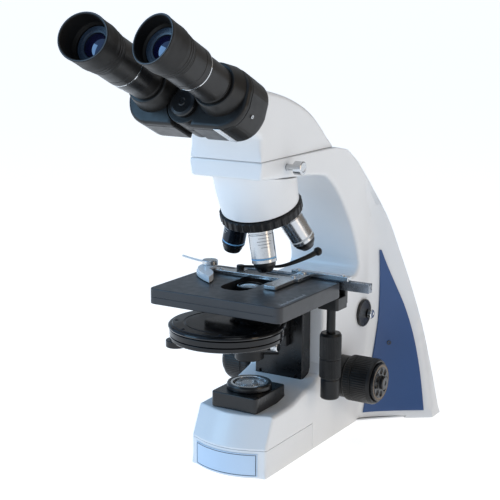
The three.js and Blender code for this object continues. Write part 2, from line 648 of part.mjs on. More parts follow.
// ---------- condenser ----------
function condenser() {
  const mount = join(
    ring(17.4, 24, 119, 127, 24),
    box(-13, 13, 19, 57.6, 119, 127),
    box(-13, 13, 50, 57.6, 108, 158),
  );
  const clampHole = at(along(disc(2.4, 15, 40, 12)), 0, 0, 123);
  add('condenser_carrier', cut(mount, disc(17.4, 100, 140, 24), clampHole), paint(BLACK));
  const inPlan = (geometry) => at(geometry, 0, CASE_CENTRE_Y);
  const body = join(
    inPlan(turned([[0, 149.6], [CASE_R, 149.6], [CASE_R + 0.8, 151.8], [CASE_R - 2, 154], [0, 154]], 40)),
    inPlan(turned([[0, 137], [CASE_R - 3, 137], [CASE_R - 1, 139], [CASE_R - 1, 142.6], [0, 142.6]], 40)),
    inPlan(disc(6, 140, 152, 16)),
    disc(17, 119.4, 138, 24),
    disc(14.5, 118, 120, 24),
    disc(17, 153, 162, 24),
    disc(BARREL_R, 160, 181.5, 24),
    at(disc(10, 131, 138, 16), -38, -72),
  );
  const lensSeat = disc(11.4, 178.4, 190, 32);
  add('phase_turret_case', cut(body, lensSeat, disc(9, 100, 180)), paint(BLACK));
  const stops = Array.from({ length: 5 }, (_, i) => {
    const angle = Math.PI / 2 + (i / 5) * Math.PI * 2;
    const [x, y] = [-CASE_CENTRE_Y * Math.cos(angle), CASE_CENTRE_Y - CASE_CENTRE_Y * Math.sin(angle)];
    return at(disc(10, 140, 152, 16), x, y);
  });
  add('phase_wheel', cut(inPlan(ring(6.4, CASE_R - 0.6, 143, 149.2, 40)), ...stops), paint(BLACK));
  const lens = turned([[0, 178.8], [11, 178.8], [11, 180], [6, 181.7], [0, 182.2]]);
  add('condenser_top_lens', lens, glass(0xe8eef2));
  const pin = taperedRod([
    new THREE.Vector3(12, 6, 112), new THREE.Vector3(19, 9.5, 112), new THREE.Vector3(26, 13, 112),
  ], [1.2, 1.2], 3, 8);
  add('aperture_ring', join(ring(9, 14.5, 107, 117.6, 24), pin), paint(BLACK));
  const screw = join(disc(2, 17.6, 26, 12), disc(4.5, 26, 33, 14));
  add('condenser_clamp_screw', at(along(screw), 0, 0, 123), metal(SILVER));
}

// ---------- focus drive ----------
function focus() {
  const onAxle = (geometry) => at(along(geometry), 0, FOCUS_Y, FOCUS_Z);
  const knob = turned([
    [2.7, 56], [22, 56], [24, 58], [24, 86], [22.5, 88], [20.4, 88], [20.4, 85.5], [2.7, 85.5],
  ], 32);
  const mirrored = (geometry) => geometry.clone().rotateY(Math.PI);
  const sleeve = ring(2.7, 7.4, -60, 60);
  add('coarse_knobs', onAxle(join(knob, mirrored(knob), sleeve)), paint(BLACK));
  const dial = turned([[0, 86.2], [19.6, 86.2], [19.6, 90.5], [18, 91.5], [7, 91.5], [6, 96], [0, 96]], 28);
  add('fine_knobs', onAxle(join(dial, mirrored(dial), disc(2.2, -90, 90, 16))), paint(BLACK));
  add('tension_collar', onAxle(ring(8, 22, 43, 55.6, 28)), paint(BLACK));
  add('axle_spacer', onAxle(ring(8, 18, -55.6, -42.8, 24)), paint(BLACK));
  add('focus_stop_disc', at(along(disc(15, BASE_HALF_WIDTH + GAP, 46, 24)), 0, 165, 122.4), paint(BLACK));
  add('focus_stop_screw', at(along(disc(5, 46.3, 51, 14)), 0, 173, 120), metal(SILVER));
}

stand();
illuminator();
head();
add('nosepiece_mount', nosepieceMount(), paint(WHITE));
turret();
stage();
condenser();
focus();
microscope.position.y = OPTICAL_AXIS_Y;

export default microscope;
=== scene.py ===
"""Looks of a binocular phase-contrast microscope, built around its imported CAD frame.

Shapes are drawn in millimetres around the optical axis, as the CAD is. A place matrix then carries each
one into the frame, which is in metres.
"""

import json
import math
from collections import namedtuple
from contextlib import contextmanager

import bmesh
import bpy
from mathutils import Matrix, Vector, geometry

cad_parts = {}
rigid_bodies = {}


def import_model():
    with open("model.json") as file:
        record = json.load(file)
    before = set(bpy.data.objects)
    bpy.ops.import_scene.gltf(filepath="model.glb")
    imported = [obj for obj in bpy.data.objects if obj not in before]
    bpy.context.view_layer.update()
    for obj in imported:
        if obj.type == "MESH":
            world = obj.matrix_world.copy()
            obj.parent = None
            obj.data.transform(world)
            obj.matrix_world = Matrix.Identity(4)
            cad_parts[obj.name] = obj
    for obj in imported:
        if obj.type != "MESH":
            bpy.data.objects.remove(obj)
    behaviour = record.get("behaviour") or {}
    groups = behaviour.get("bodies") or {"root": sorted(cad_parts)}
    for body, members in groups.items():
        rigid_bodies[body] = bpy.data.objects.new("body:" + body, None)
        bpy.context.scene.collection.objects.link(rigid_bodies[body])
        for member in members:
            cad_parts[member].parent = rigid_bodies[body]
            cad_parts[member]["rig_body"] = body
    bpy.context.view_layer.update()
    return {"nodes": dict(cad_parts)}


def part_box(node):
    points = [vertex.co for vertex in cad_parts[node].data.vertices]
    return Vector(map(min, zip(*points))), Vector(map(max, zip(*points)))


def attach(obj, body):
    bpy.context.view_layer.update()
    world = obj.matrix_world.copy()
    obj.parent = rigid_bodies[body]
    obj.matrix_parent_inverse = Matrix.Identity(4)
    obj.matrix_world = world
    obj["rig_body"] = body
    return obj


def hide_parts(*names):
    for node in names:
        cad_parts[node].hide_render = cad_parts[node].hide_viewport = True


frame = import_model()

# ---------- driving dimensions, in millimetres ----------
MM = 0.001
TAU = 2 * math.pi
GAP = 0.3
POINT_MERGE = 1e-4
WELD = 0.003
SEAM_CHAMFER = 0.4
SEAM_ANGLE = math.radians(40)
ROUND = 96  # sides of a smooth round piece
SHARP_ANGLE = math.radians(32)
RIM_STEPS = 3  # bands of a rounded rim
TABLE_TO_BASE = 1.2
SEAM_Z = 309.6  # between the arm and the binocular head
CLAMP_Z = 300.5
COVER_TOP_Z = 30
COVER_REAR_Y = 55
BASE_HALF = 42.5
COLLAR_HALF = 39.2
COLLAR_FROM, COLLAR_TO = 150, 284
THROAT_Y = 90  # in front of it the stand narrows towards the collar
FOOT_HALF = 109.5
BACK_TAPER = 0.235
BACK_MIN_HALF = 40
FRONT_Y = -40
FRONT_BULGE = 11
FRONT_CORNER = 5
DIAL_Y, DIAL_Z = 20, 42
FEET = (("front_right", 29, -20), ("front_left", -29, -20), ("rear_right", 84, 211), ("rear_left", -84, 211))

TUBE_TILT = math.radians(25)
PUPIL_HALF = 34.9
HINGE_DROP = 13.7
EYE_POINT = Vector((0, -206.6, 426))
WING_FRONT, WING_SHOULDER, WING_SPLIT, WING_BACK = 97, 112, 131, 150
HUB_R = 18
WING_SCREW_TURN = math.radians(-14)
CUP_SLANT = math.tan(math.radians(12))
PIN_R = 5

TURRET_TILT = math.radians(20)
TURRET_CENTRE = Vector((0, 22.4, 248.3))
OBJECTIVE_CIRCLE_R = 23.8
OBJECTIVE_LENGTH = 45
BAND_SHARE = 0.70  # of an objective's length
NOSE_SHARE = 0.80
TURRET_TURN = math.radians(24)

STAGE_TOP = 184.2
STAGE_BOTTOM = 168.9
HOLDER_LOW, HOLDER_TOP = 185, 188.4
FINGER_PIVOT = (-58, 18)
CLAW_TIP = (-30, -27)
LEVER_PIVOT = (-28, 28)
LEVER_TIP = (34, 76, 205)
CARRIER_LOW, CARRIER_TOP = 119, 127
CONDENSER_SCREW_Z = 123
CASE_CENTRE_Y = -42
CASE_R = 55.5
FOCUS_Y, FOCUS_Z = 112, 66.5
DRIVE_X, DRIVE_Y = 64, 50

CAMERA_PLACE = (608.9, -1005.5, 466.0)
CAMERA_TURN = math.radians(31.2)
CAMERA_PITCH = math.radians(12.0)
CAMERA_ROLL = math.radians(0.3)
CAMERA_LENS = 89.14
SENSOR_WIDTH = 36

# ---------- looks and studio, in metres ----------
BUMP_STRENGTH = 0.6
TONE_SCALE = 26  # patches of tone per metre
GLOSS_SCALE = 140
FLOOR_SIZE = 400
VIEW_DISTANCE = 1000
FLOOR_TONE = 0.72
FLOOR_GLOW = 0.74
SKY_SIDE = (-0.78, -0.58, 0.25)
SKY_STRENGTH = 0.54
LIT_POINT_Z = 0.22

# ---------- places ----------
lens_low, lens_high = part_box("field_lens")
AXIS_Y = (lens_low[1] + lens_high[1]) / 2
STAND = Matrix.Translation((0, AXIS_Y, 0)) @ Matrix.Scale(MM, 4)
LOCAL = Matrix.Scale(MM, 4)
X, Y, Z = Vector((1, 0, 0)), Vector((0, 1, 0)), Vector((0, 0, 1))


def at(x, y, z=0):
    return STAND @ Matrix.Translation((x, y, z))


def spun(place, angle):
    """The place turned about its local Z, in radians."""
    return place @ Matrix.Rotation(angle, 4, "Z")


def axes(origin, x_axis, y_axis, z_axis):
    columns = Matrix((x_axis, y_axis, z_axis)).transposed().to_4x4()
    return STAND @ Matrix.Translation(origin) @ columns


def along_x(y, z, sign=1):
    """Local Z points along +X or -X, and the origin is on the middle plane."""
    return axes((0, y, z), -Z * sign, Y, X * sign)


def on_focus_axle(sign=1):
    return along_x(FOCUS_Y, FOCUS_Z, sign)


SIDE_VIEW = axes((0, 0, 0), Y, Z, X)  # local (x, y) is (y, z) of the microscope
REAR_VIEW = axes((0, 0, 0), X, Z, -Y)  # local (x, y) is (x, z) of the microscope, local z is minus its y
TUBE_DIR = Vector((0, -math.cos(TUBE_TILT), math.sin(TUBE_TILT)))
TUBE_UP = Vector((0, math.sin(TUBE_TILT), math.cos(TUBE_TILT)))


def in_head(x, up=0):
    """Local (x, up, s), with s measured down the tube from the rim of the eyecup."""
    return axes(EYE_POINT + X * x + TUBE_UP * up, X, TUBE_UP, -TUBE_DIR)


def on_tube(side):
    return in_head(side * PUPIL_HALF)


HINGE = in_head(0, -HINGE_DROP)
TURRET_AXIS = Vector((0, math.sin(TURRET_TILT), -math.cos(TURRET_TILT)))
TURRET_Y = Vector((0, -math.cos(TURRET_TILT), -math.sin(TURRET_TILT)))
IN_TURRET = axes(TURRET_CENTRE, X, TURRET_Y, TURRET_AXIS)


def objective_place(degrees):
    """Local +Z points out of the nosepiece, along the objective on that station."""
    phi = math.radians(degrees) + TURRET_TURN
    out = TURRET_Y * math.cos(phi) + X * math.sin(phi)
    down = (TURRET_AXIS * math.cos(TURRET_TILT) + out * math.sin(TURRET_TILT)).normalized()
    across = down.cross(out).normalized()
    return axes(TURRET_CENTRE + out * OBJECTIVE_CIRCLE_R, across, down.cross(across), down)


# ---------- outlines ----------
def lerp(a, b, t):
    return a + (b - a) * t


def clamp(t):
    return max(0.0, min(1.0, t))


def smoothstep(t, low, high):
    t = clamp((t - low) / (high - low))
    return t * t * (3 - 2 * t)


def spline(points, steps):
    """Catmull-Rom curve through the points, both ends included."""
    knots = [Vector(p) for p in points]
    curve = []
    for i in range(len(knots) - 1):
        a, b = knots[max(i - 1, 0)], knots[i]
        c, d = knots[i + 1], knots[min(i + 2, len(knots) - 1)]
        for k in range(steps):
            t = k / steps
            bend = (2 * a - 5 * b + 4 * c - d) * t * t + (3 * b - a - 3 * c + d) * t**3
            curve.append(tuple((2 * b + (c - a) * t + bend) / 2))
    curve.append(tuple(knots[-1]))
    return curve


def quadratic(a, b, c, steps):
    """Curve from a to c that leans towards b, both ends included."""
    a, b, c = Vector(a), Vector(b), Vector(c)
    shares = [k / steps for k in range(steps + 1)]
    return [tuple(a.lerp(b, t).lerp(b.lerp(c, t), t)) for t in shares]


def arc(centre, radius, start, end, steps=16):
    """Points of an arc, with its angles in degrees."""
    angles = [math.radians(lerp(start, end, k / steps)) for k in range(steps + 1)]
    return [(centre[0] + radius * math.cos(q), centre[1] + radius * math.sin(q)) for q in angles]


def rounded(points, radius, closed=True, steps=4):
    """The outline with its corners eased. A third value in a point is that corner's own radius."""
    eased_points = []
    for i, point in enumerate(points):
        here = Vector(point[:2])
        own = point[2] if len(point) > 2 else radius
        if not closed and i in (0, len(points) - 1) or own <= 0:
            eased_points.append(tuple(here))
            continue
        before = Vector(points[i - 1][:2]) - here
        after = Vector(points[(i + 1) % len(points)][:2]) - here
        turn = math.pi - before.angle(after)
        reach = min(own * math.tan(turn / 2), before.length * 0.49, after.length * 0.49)
        start, end = here + before.normalized() * reach, here + after.normalized() * reach
        eased_points += quadratic(start, here, end, steps)
    return eased_points


def rectangle(x0, x1, y0, y1, corner):
    return rounded([(x0, y0), (x1, y0), (x1, y1), (x0, y1)], corner)


def polygon_area(outline):
    pairs = zip(outline, outline[1:] + outline[:1])
    return sum(p[0] * q[1] - q[0] * p[1] for p, q in pairs) / 2


def inset(outline, distance):
    """A counter-clockwise outline moved inwards, square to its edges."""
    moved = []
    count = len(outline)
    for i, point in enumerate(outline):
        here = Vector(point)
        before = (here - Vector(outline[i - 1])).normalized()
        after = (Vector(outline[(i + 1) % count]) - here).normalized()
        normal = Vector((-before.y - after.y, before.x + after.x)).normalized()
        stretch = 1 / max(0.5, normal.dot(Vector((-after.y, after.x))))
        moved.append(tuple(here + normal * distance * stretch))
    return moved


def even(outline, step):
    """The closed outline with its long edges split, so that no edge is longer than step."""
    dense = []
    for p, q in zip(outline, outline[1:] + outline[:1]):
        length = (Vector(q) - Vector(p)).length
        parts = math.ceil(length / step) if length > 0.02 else 0
        dense += [tuple(Vector(p).lerp(Vector(q), k / parts)) for k in range(parts)]
    return dense


def distance_to(outline, point):
    here = Vector(point)
    nearest = 1e9
    for p, q in zip(outline, outline[1:] + outline[:1]):
        a, b = Vector(p), Vector(q)
        t = clamp((here - a).dot(b - a) / max((b - a).length_squared, 1e-9))
        nearest = min(nearest, (here - a.lerp(b, t)).length)
    return nearest


def inside(outline, point):
    y, z = point
    crossings = False
    for p, q in zip(outline, outline[1:] + outline[:1]):
        if (p[1] > z) != (q[1] > z) and y < p[0] + (q[0] - p[0]) * (z - p[1]) / (q[1] - p[1]):
            crossings = not crossings
    return crossings


# ---------- solids ----------
def added(name, data):
    """A new object in the scene that shows this data."""
    obj = bpy.data.objects.new(name, data)
    bpy.context.scene.collection.objects.link(obj)
    return obj


@contextmanager
def edited(obj):
    """The object's mesh as a bmesh, written back at the end."""
    bm = bmesh.new()
    bm.from_mesh(obj.data)
    yield bm
    bm.to_mesh(obj.data)
    bm.free()


def shape(bm, place):
    """A bmesh in local millimetres as an object in the frame."""
    bmesh.ops.remove_doubles(bm, verts=bm.verts, dist=POINT_MERGE)
    bmesh.ops.recalc_face_normals(bm, faces=bm.faces)
    mirrored = place.to_3x3().determinant() < 0
    if (bm.calc_volume(signed=True) < 0) != mirrored:
        bmesh.ops.reverse_faces(bm, faces=bm.faces)
    bm.transform(place)
    mesh = bpy.data.meshes.new("shape")
    bm.to_mesh(mesh)
    bm.free()
    return added("shape", mesh)


def bridge(bm, lower, upper):
    """Quads between two rings of corners, either of which may be a single point."""
    count = max(len(lower), len(upper))
    for k in range(count):
        n = (k + 1) % count
        ring = [lower[k % len(lower)], lower[n % len(lower)], upper[n % len(upper)], upper[k % len(upper)]]
        corners = list(dict.fromkeys(ring))
        if len(corners) > 2:
            bm.faces.new(corners)


def turned(profile, place, segments=64, relief=None):
    """A piece turned about local Z. The profile runs from axis to axis, or is a closed ring off the axis.

    relief(angle, r, z) gives the radius and height of one point, for ribs and slanted rims.
    """
    bm = bmesh.new()
    rings = []
    for r, z in profile:
        if r <= 0:
            rings.append([bm.verts.new((0, 0, z))])
            continue
        ring = []
        for k in range(segments):
            angle = TAU * k / segments
            own_r, own_z = relief(angle, r, z) if relief else (r, z)
            ring.append(bm.verts.new((own_r * math.cos(angle), own_r * math.sin(angle), own_z)))
        rings.append(ring)
    for lower, upper in zip(rings, rings[1:]):
        bridge(bm, lower, upper)
    if profile[0][0] > 0:
        bridge(bm, rings[-1], rings[0])
    return shape(bm, place)


def ribs(count, depth, low, high, inner, smooth=(0, 0)):
    """Relief of straight ribs between two heights outside the inner radius, but not on the smooth stretch."""

    def relief(angle, r, z):
        if r <= inner or not low <= z <= high or smooth[0] < z < smooth[1]:
            return r, z
        return r - depth * clamp(0.5 + 0.9 * math.cos(count * angle)), z

    return relief


def lathe(profile, edge, place, segments, relief=None):
    """A turned piece with its corners eased. A profile that starts on the axis ends on it too."""
    return turned(rounded(profile, edge, closed=profile[0][0] > 0), place, segments, relief)


def disc(r, low, high, place, edge, segments=64):
    return lathe([(0, low), (r, low), (r, high), (0, high)], edge, place, segments)


def bore(r, low, high, place=STAND, segments=64):
    """A plain cylinder to cut with."""
    return disc(r, low, high, place, 0, segments)


def hoop(inner, outer, low, high, place, edge, segments):
    return lathe([(inner, low), (outer, low), (outer, high), (inner, high)], edge, place, segments)


def lofted(rings, place):
    """A closed skin through rings of points that all have the same count."""
    bm = bmesh.new()
    layers = [[bm.verts.new(p) for p in ring] for ring in rings]
    for lower, upper in zip(layers, layers[1:]):
        bridge(bm, lower, upper)
    bm.faces.new(layers[0])
    bm.faces.new(layers[-1])
    return shape(bm, place)


def stacked(outline, levels, place):
    """A solid through insets of one outline: levels are (height, inset) pairs, lowest first."""
    if polygon_area(outline) < 0:
        outline = outline[::-1]
    rings = [[(x, y, height) for x, y in inset(outline, amount)] for height, amount in levels]
    return lofted(rings, place)


def eased(low, high, edge):
    """Levels from low to high with both rims rounded by edge."""
    quarter = [math.pi / 2 * k / RIM_STEPS for k in range(RIM_STEPS + 1)]
    lower = [(low + edge * (1 - math.cos(q)), edge * (1 - math.sin(q))) for q in quarter]
    upper = [(high - edge * (1 - math.cos(q)), edge * (1 - math.sin(q))) for q in reversed(quarter)]
    return lower + upper


def slab(outline, low, high, place, edge):
    return stacked(outline, eased(low, high, edge), place)


def block(x0, x1, y0, y1, z0, z1, corner, edge, place=STAND):
    return slab(rectangle(x0, x1, y0, y1, corner), z0, z1, place, edge)


def sharp_block(x0, x1, y0, y1, z0, z1, place=STAND):
    return block(x0, x1, y0, y1, z0, z1, 0, 0, place)


def rounding(radius, depth):
    """How far a face drops at this depth inside an edge of that radius."""
    return radius - math.sqrt(max(0, radius**2 - max(0, radius - depth) ** 2))


def pillow(outline, faces, place, strips, pitch=6.5, bend=None):
    """A solid between two faces of one outline, each a function of (x, y, depth inside the edge).

    strips is the number of bands of its wall, or the rings of the wall as lists of points.
    """
    ring = even(outline if polygon_area(outline) > 0 else outline[::-1], 4)
    points = list(ring)
    for depth in (0.5, 1.3, 2.6, 4.2):
        moved = inset(ring, depth)
        points += [p for p in moved if inside(ring, p) and distance_to(ring, p) > depth * 0.93]
    low = [min(p[i] for p in ring) for i in (0, 1)]
    high = [max(p[i] for p in ring) for i in (0, 1)]
    for row in range(math.ceil((high[1] - low[1]) / pitch)):
        for column in range(math.ceil((high[0] - low[0]) / pitch)):
            p = (low[0] + (column + row % 2 / 2) * pitch, low[1] + row * pitch)
            if inside(ring, p) and distance_to(ring, p) > 6:
                points.append(p)
    face = [list(range(len(ring)))]
    flat, _, triangles, _, _, _ = geometry.delaunay_2d_cdt([Vector(p) for p in points], [], face, 1, 1e-5)
    rim = [min(range(len(flat)), key=lambda i: (flat[i] - Vector(p)).length_squared) for p in ring]
    depths = [0 if i in rim else distance_to(ring, p) for i, p in enumerate(flat)]
    bm = bmesh.new()
    sheets = []
    for surface in faces:
        corners = [bm.verts.new(surface(x, y, depth)) for (x, y), depth in zip(flat, depths)]
        sheets.append([corners[i] for i in rim])
        for triangle in triangles:
            bm.faces.new([corners[i] for i in triangle])
    first, last = sheets
    if isinstance(strips, int):
        shares = [k / strips for k in range(1, strips)]
        walls = [[bm.verts.new(a.co.lerp(b.co, share)) for a, b in zip(first, last)] for share in shares]
    else:
        walls = [[bm.verts.new((x, y, height)) for x, y in inset(ring, amount)] for height, amount in strips]
    layers = [first, *walls, last]
    for lower, upper in zip(layers, layers[1:]):
        bridge(bm, lower, upper)
    if bend:
        bend(bm)
    return shape(bm, place)


def rod(path, radii, place=STAND, sides=20):
    """A round rod along a path, with a radius for each point."""
    points = [Vector(p) for p in path]
    rings = []
    side = None
    for i, point in enumerate(points):
        ahead = (points[min(i + 1, len(points) - 1)] - points[max(i - 1, 0)]).normalized()
        side = (side or ahead.orthogonal()).cross(ahead).cross(ahead).normalized() * -1
        other = ahead.cross(side)
        angles = [TAU * k / sides for k in range(sides)]
        rings.append([point + (side * math.cos(q) + other * math.sin(q)) * radii[i] for q in angles])
    return lofted(rings, place)


def sheet(surface, thickness, columns, rows, rim=0.3):
    """A thin curved panel. surface(s, t, offset) is a point of it, with s and t from 0 to 1."""
    near_edge = 0.012
    s_values = [0, near_edge] + [k / columns for k in range(1, columns)] + [1 - near_edge, 1]
    t_values = [0, near_edge] + [k / rows for k in range(1, rows)] + [1 - near_edge, 1]
    bm = bmesh.new()

    def corner(s, t, outer):
        on_edge = s in (0, 1) or t in (0, 1)
        offset = thickness[1] - (rim if on_edge else 0) if outer else thickness[0]
        return bm.verts.new(surface(s, t, offset))

    for outer in (True, False):
        grid = [[corner(s, t, outer) for s in s_values] for t in t_values]
        for low, high in zip(grid, grid[1:]):
            for k in range(len(low) - 1):
                bm.faces.new((low[k], low[k + 1], high[k + 1], high[k]))
        border = grid[0] + [row[-1] for row in grid[1:]] + grid[-1][-2::-1]
        border += [row[0] for row in grid[-2:0:-1]]
        if outer:
            outer_border = border
    bridge(bm, outer_border, border)
    return shape(bm, STAND)


def applied(obj):
    """Puts the result of the object's modifiers into its mesh."""
    bpy.context.view_layer.update()
    depsgraph = bpy.context.evaluated_depsgraph_get()
    mesh = bpy.data.meshes.new_from_object(obj.evaluated_get(depsgraph))
    obj.modifiers.clear()
    obj.data = mesh
    return obj


def boolean(obj, operation, others):
    for other in others:
        modifier = obj.modifiers.new("boolean", "BOOLEAN")
        modifier.operation = operation
        modifier.solver = "EXACT"
        modifier.object = other
    applied(obj)
    for other in others:
        bpy.data.objects.remove(other)
    with edited(obj) as bm:
        bmesh.ops.remove_doubles(bm, verts=bm.verts, dist=WELD * MM)
        bmesh.ops.dissolve_degenerate(bm, edges=bm.edges, dist=WELD * MM)
    return obj


def cut(obj, *others):
    return boolean(obj, "DIFFERENCE", others)


def merged(obj, *others):
    return boolean(obj, "UNION", others)


def common(obj, other):
    return boolean(obj, "INTERSECT", [other])


def seated(obj, place):
    """Carries a solid that was built in LOCAL to its place."""
    with edited(obj) as bm:
        bm.transform(place @ LOCAL.inverted())
        if place.to_3x3().determinant() < 0:
            bmesh.ops.reverse_faces(bm, faces=bm.faces)
    return obj


def gathered(*objects):
    """Separate solids of one piece, kept in one mesh."""
    bm = bmesh.new()
    for obj in objects:
        bm.from_mesh(obj.data)
    mesh = bpy.data.meshes.new("gathered")
    bm.to_mesh(mesh)
    bm.free()
    for obj in objects[1:]:
        bpy.data.objects.remove(obj)
    objects[0].data = mesh
    return objects[0]


def softened(obj, width, angle):
    """Rounds the edges that a boolean left sharp."""
    modifier = obj.modifiers.new("bevel", "BEVEL")
    modifier.width = width * MM
    modifier.segments = 2
    modifier.limit_method = "ANGLE"
    modifier.angle_limit = math.radians(angle)
    modifier.use_clamp_overlap = True
    modifier.miter_outer = "MITER_ARC"
    return applied(obj)


# ---------- finishes ----------
Finish = namedtuple("Finish", "material slot")


def fill(node, inputs):
    """Gives the node's sockets values, or links from other sockets."""
    for name, value in inputs.items():
        if isinstance(value, bpy.types.NodeSocket):
            node.id_data.links.new(value, node.inputs[name])
        else:
            node.inputs[name].default_value = value
    return node


def added_node(nodes, kind, inputs):
    return fill(nodes.new(kind), inputs)


def finish(name, slot, colour, roughness, grain, drift,
           gloss_drift=0.06, stretch=(1, 1, 1), tint=None, **look):
    """A procedural finish: grain in the surface, and drifts of tone and gloss across it.

    grain is (features per metre, depth in mm), drift the spread of tone, gloss_drift that of roughness,
    stretch the scale of the grain along each axis, and look holds the shader's own values.
    """
    grain_scale, grain_depth = grain
    material = bpy.data.materials.new(name)
    material.use_nodes = True
    nodes = material.node_tree.nodes
    spot = nodes.new("ShaderNodeTexCoord").outputs["Object"]
    place = added_node(nodes, "ShaderNodeMapping", {"Vector": spot, "Scale": stretch}).outputs["Vector"]

    def noise(scale, detail, where=spot):
        inputs = {"Vector": where, "Scale": scale, "Detail": detail}
        return added_node(nodes, "ShaderNodeTexNoise", inputs).outputs["Fac"]

    def spread(value, low, high):
        inputs = {"Value": value, "From Min": 0.3, "From Max": 0.7, "To Min": low, "To Max": high}
        return added_node(nodes, "ShaderNodeMapRange", inputs).outputs["Result"]

    fine = noise(grain_scale, 3, place)
    tones = nodes.new("ShaderNodeMix")
    tones.data_type = "RGBA"
    other = tint or [channel * (1 - drift) for channel in colour]
    fill(tones, {"Factor": spread(noise(TONE_SCALE, 4), 0, 1), 6: (*colour, 1), 7: (*other, 1)})
    gloss = spread(noise(GLOSS_SCALE, 5), max(0.02, roughness - gloss_drift), roughness + gloss_drift)
    relief = {"Height": fine, "Strength": BUMP_STRENGTH, "Distance": grain_depth * MM}
    normal = added_node(nodes, "ShaderNodeBump", relief).outputs["Normal"]
    shader = nodes["Principled BSDF"]
    fill(shader, {"Base Color": tones.outputs[2], "Roughness": gloss, "Normal": normal})
    fill(shader, {socket.replace("_", " "): value for socket, value in look.items()})
    return Finish(material, slot)


def ring_enamel(colour, name):
    return finish(name, "label", colour, 0.28, (1500, 0.01), 0.08)


WHITE = finish("white_enamel", "white_paint", (0.79, 0.80, 0.81), 0.34, (700, 0.003), 0.02,
               gloss_drift=0.04, Coat_Weight=0.25, Coat_Roughness=0.18)
WHITE_PLASTIC = finish("white_moulding", "white_plastic", (0.79, 0.80, 0.81), 0.38, (900, 0.004), 0.02,
                       gloss_drift=0.04)
BLACK = finish("black_enamel", "black_paint", (0.0055, 0.0055, 0.006), 0.30, (800, 0.003), 0.25,
               gloss_drift=0.05, Coat_Weight=0.25, Coat_Roughness=0.2, Specular_IOR_Level=0.35)
SATIN = finish("black_satin", "black_paint", (0.0075, 0.0068, 0.006), 0.36, (1100, 0.006), 0.25,
               gloss_drift=0.05, Specular_IOR_Level=0.42)
PLASTIC = finish("black_moulding", "black_plastic", (0.006, 0.006, 0.0062), 0.36, (1000, 0.005), 0.25,
                 gloss_drift=0.06, Specular_IOR_Level=0.32)
GLOSS = finish("black_gloss", "black_plastic", (0.004, 0.004, 0.0045), 0.14, (500, 0.0015), 0.25,
               gloss_drift=0.04, Specular_IOR_Level=0.4)
ANODISED = finish("stage_anodised", "black_paint", (0.030, 0.032, 0.036), 0.34, (1500, 0.006), 0.15,
                  gloss_drift=0.05, Specular_IOR_Level=0.45)
BLUE = finish("blue_laminate", "blue_plastic", (0.036, 0.088, 0.235), 0.42, (1300, 0.006), 0.08,
              gloss_drift=0.05, Specular_IOR_Level=0.35)
LABEL = finish("label_film", "label", (0.56, 0.69, 0.84), 0.34, (900, 0.002), 0.04)
INK = finish("label_ink", "label", (0.03, 0.04, 0.06), 0.40, (900, 0.002), 0.2)
STEEL = finish("satin_steel", "satin_steel", (0.58, 0.59, 0.60), 0.24, (500, 0.0015), 0.08,
               stretch=(1, 1, 6), gloss_drift=0.04, Metallic=1.0)
RAIL = finish("rail_steel", "satin_steel", (0.26, 0.28, 0.31), 0.26, (500, 0.002), 0.12,
              stretch=(0.3, 4, 4), gloss_drift=0.05, Metallic=1.0)
BRONZE = finish("warm_bronze", "satin_steel", (0.17, 0.12, 0.075), 0.34, (700, 0.002), 0.2, Metallic=0.7)
DARK_METAL = finish("dark_anodised", "satin_steel", (0.028, 0.036, 0.050), 0.20, (600, 0.002), 0.2,
                    Metallic=0.8)
CHROME = finish("bright_chrome", "chrome", (0.74, 0.75, 0.76), 0.09, (400, 0.0008), 0.04, gloss_drift=0.03,
                Metallic=1.0)
RUBBER = finish("soft_rubber", "rubber", (0.0065, 0.0058, 0.005), 0.50, (1300, 0.01), 0.3,
                gloss_drift=0.06, Specular_IOR_Level=0.35)
# painted highlight: paler bluish rubber for the light caught on the eyecup's rim
CUP_RIM_HIGHLIGHT = finish("cup_rim_painted_highlight", "rubber", (0.07, 0.085, 0.10), 0.38, (1300, 0.004), 0.15)
# painted reflection: slate-blue tone for the cool light mirrored in the ring round the eye lens
BEZEL_REFLECTION = finish("bezel_painted_reflection", "black_paint", (0.030, 0.050, 0.082), 0.28, (900, 0.002), 0.15)
COATED = finish("coated_glass", "lens_glass", (0.004, 0.008, 0.028), 0.05, (300, 0.0005), 0.2,
                gloss_drift=0.02, tint=(0.014, 0.006, 0.03), Coat_Weight=1.0,
                Coat_Tint=(0.55, 0.7, 1.0, 1), IOR=1.7)
GLASS = finish("clear_glass", "lens_glass", (0.86, 0.90, 0.92), 0.05, (300, 0.001), 0.05, gloss_drift=0.03,
               Transmission_Weight=0.75, IOR=1.5, Coat_Weight=0.6)
MARKS = ring_enamel((0.75, 0.77, 0.78), "white_marks")
SKY = ring_enamel((0.22, 0.50, 0.80), "sky_ring")


def put(name, obj, look, *nodes, body=None):
    """Names a piece, finishes it, and lets it ride with and stand for its CAD nodes."""
    obj.name = name
    obj.data.name = name
    obj.data.polygons.foreach_set("use_smooth", [True] * len(obj.data.polygons))
    obj.data.set_sharp_from_angle(angle=SHARP_ANGLE)
    obj.data.materials.clear()
    obj.data.materials.append(look.material)
    normals = obj.modifiers.new("normals", "WEIGHTED_NORMAL")
    normals.keep_sharp = True
    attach(obj, body or frame["nodes"][nodes[0]]["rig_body"])
    if nodes:
        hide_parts(*nodes)


def keep(node, look):
    """A CAD node whose shape is right, with its own finish."""
    obj = frame["nodes"][node]
    obj.data.materials.clear()
    obj.data.materials.append(look.material)


# ---------- stand ----------
def back_half(z):
    return max(BACK_MIN_HALF, FOOT_HALF - BACK_TAPER * z, BASE_HALF + 0.5)


REAR_EDGE = spline([(232.8, 0), (233.5, 54), (231, 101), (221, 149), (208, 191), (197, 222), (175, 256),
                    (151, 287), (120, 305)], 8)


def rear_y(z):
    for p, q in zip(REAR_EDGE, REAR_EDGE[1:]):
        if p[1] <= z <= q[1]:
            return lerp(p[0], q[0], (z - p[1]) / (q[1] - p[1]))
    return REAR_EDGE[0][0] if z < 0 else REAR_EDGE[-1][0]


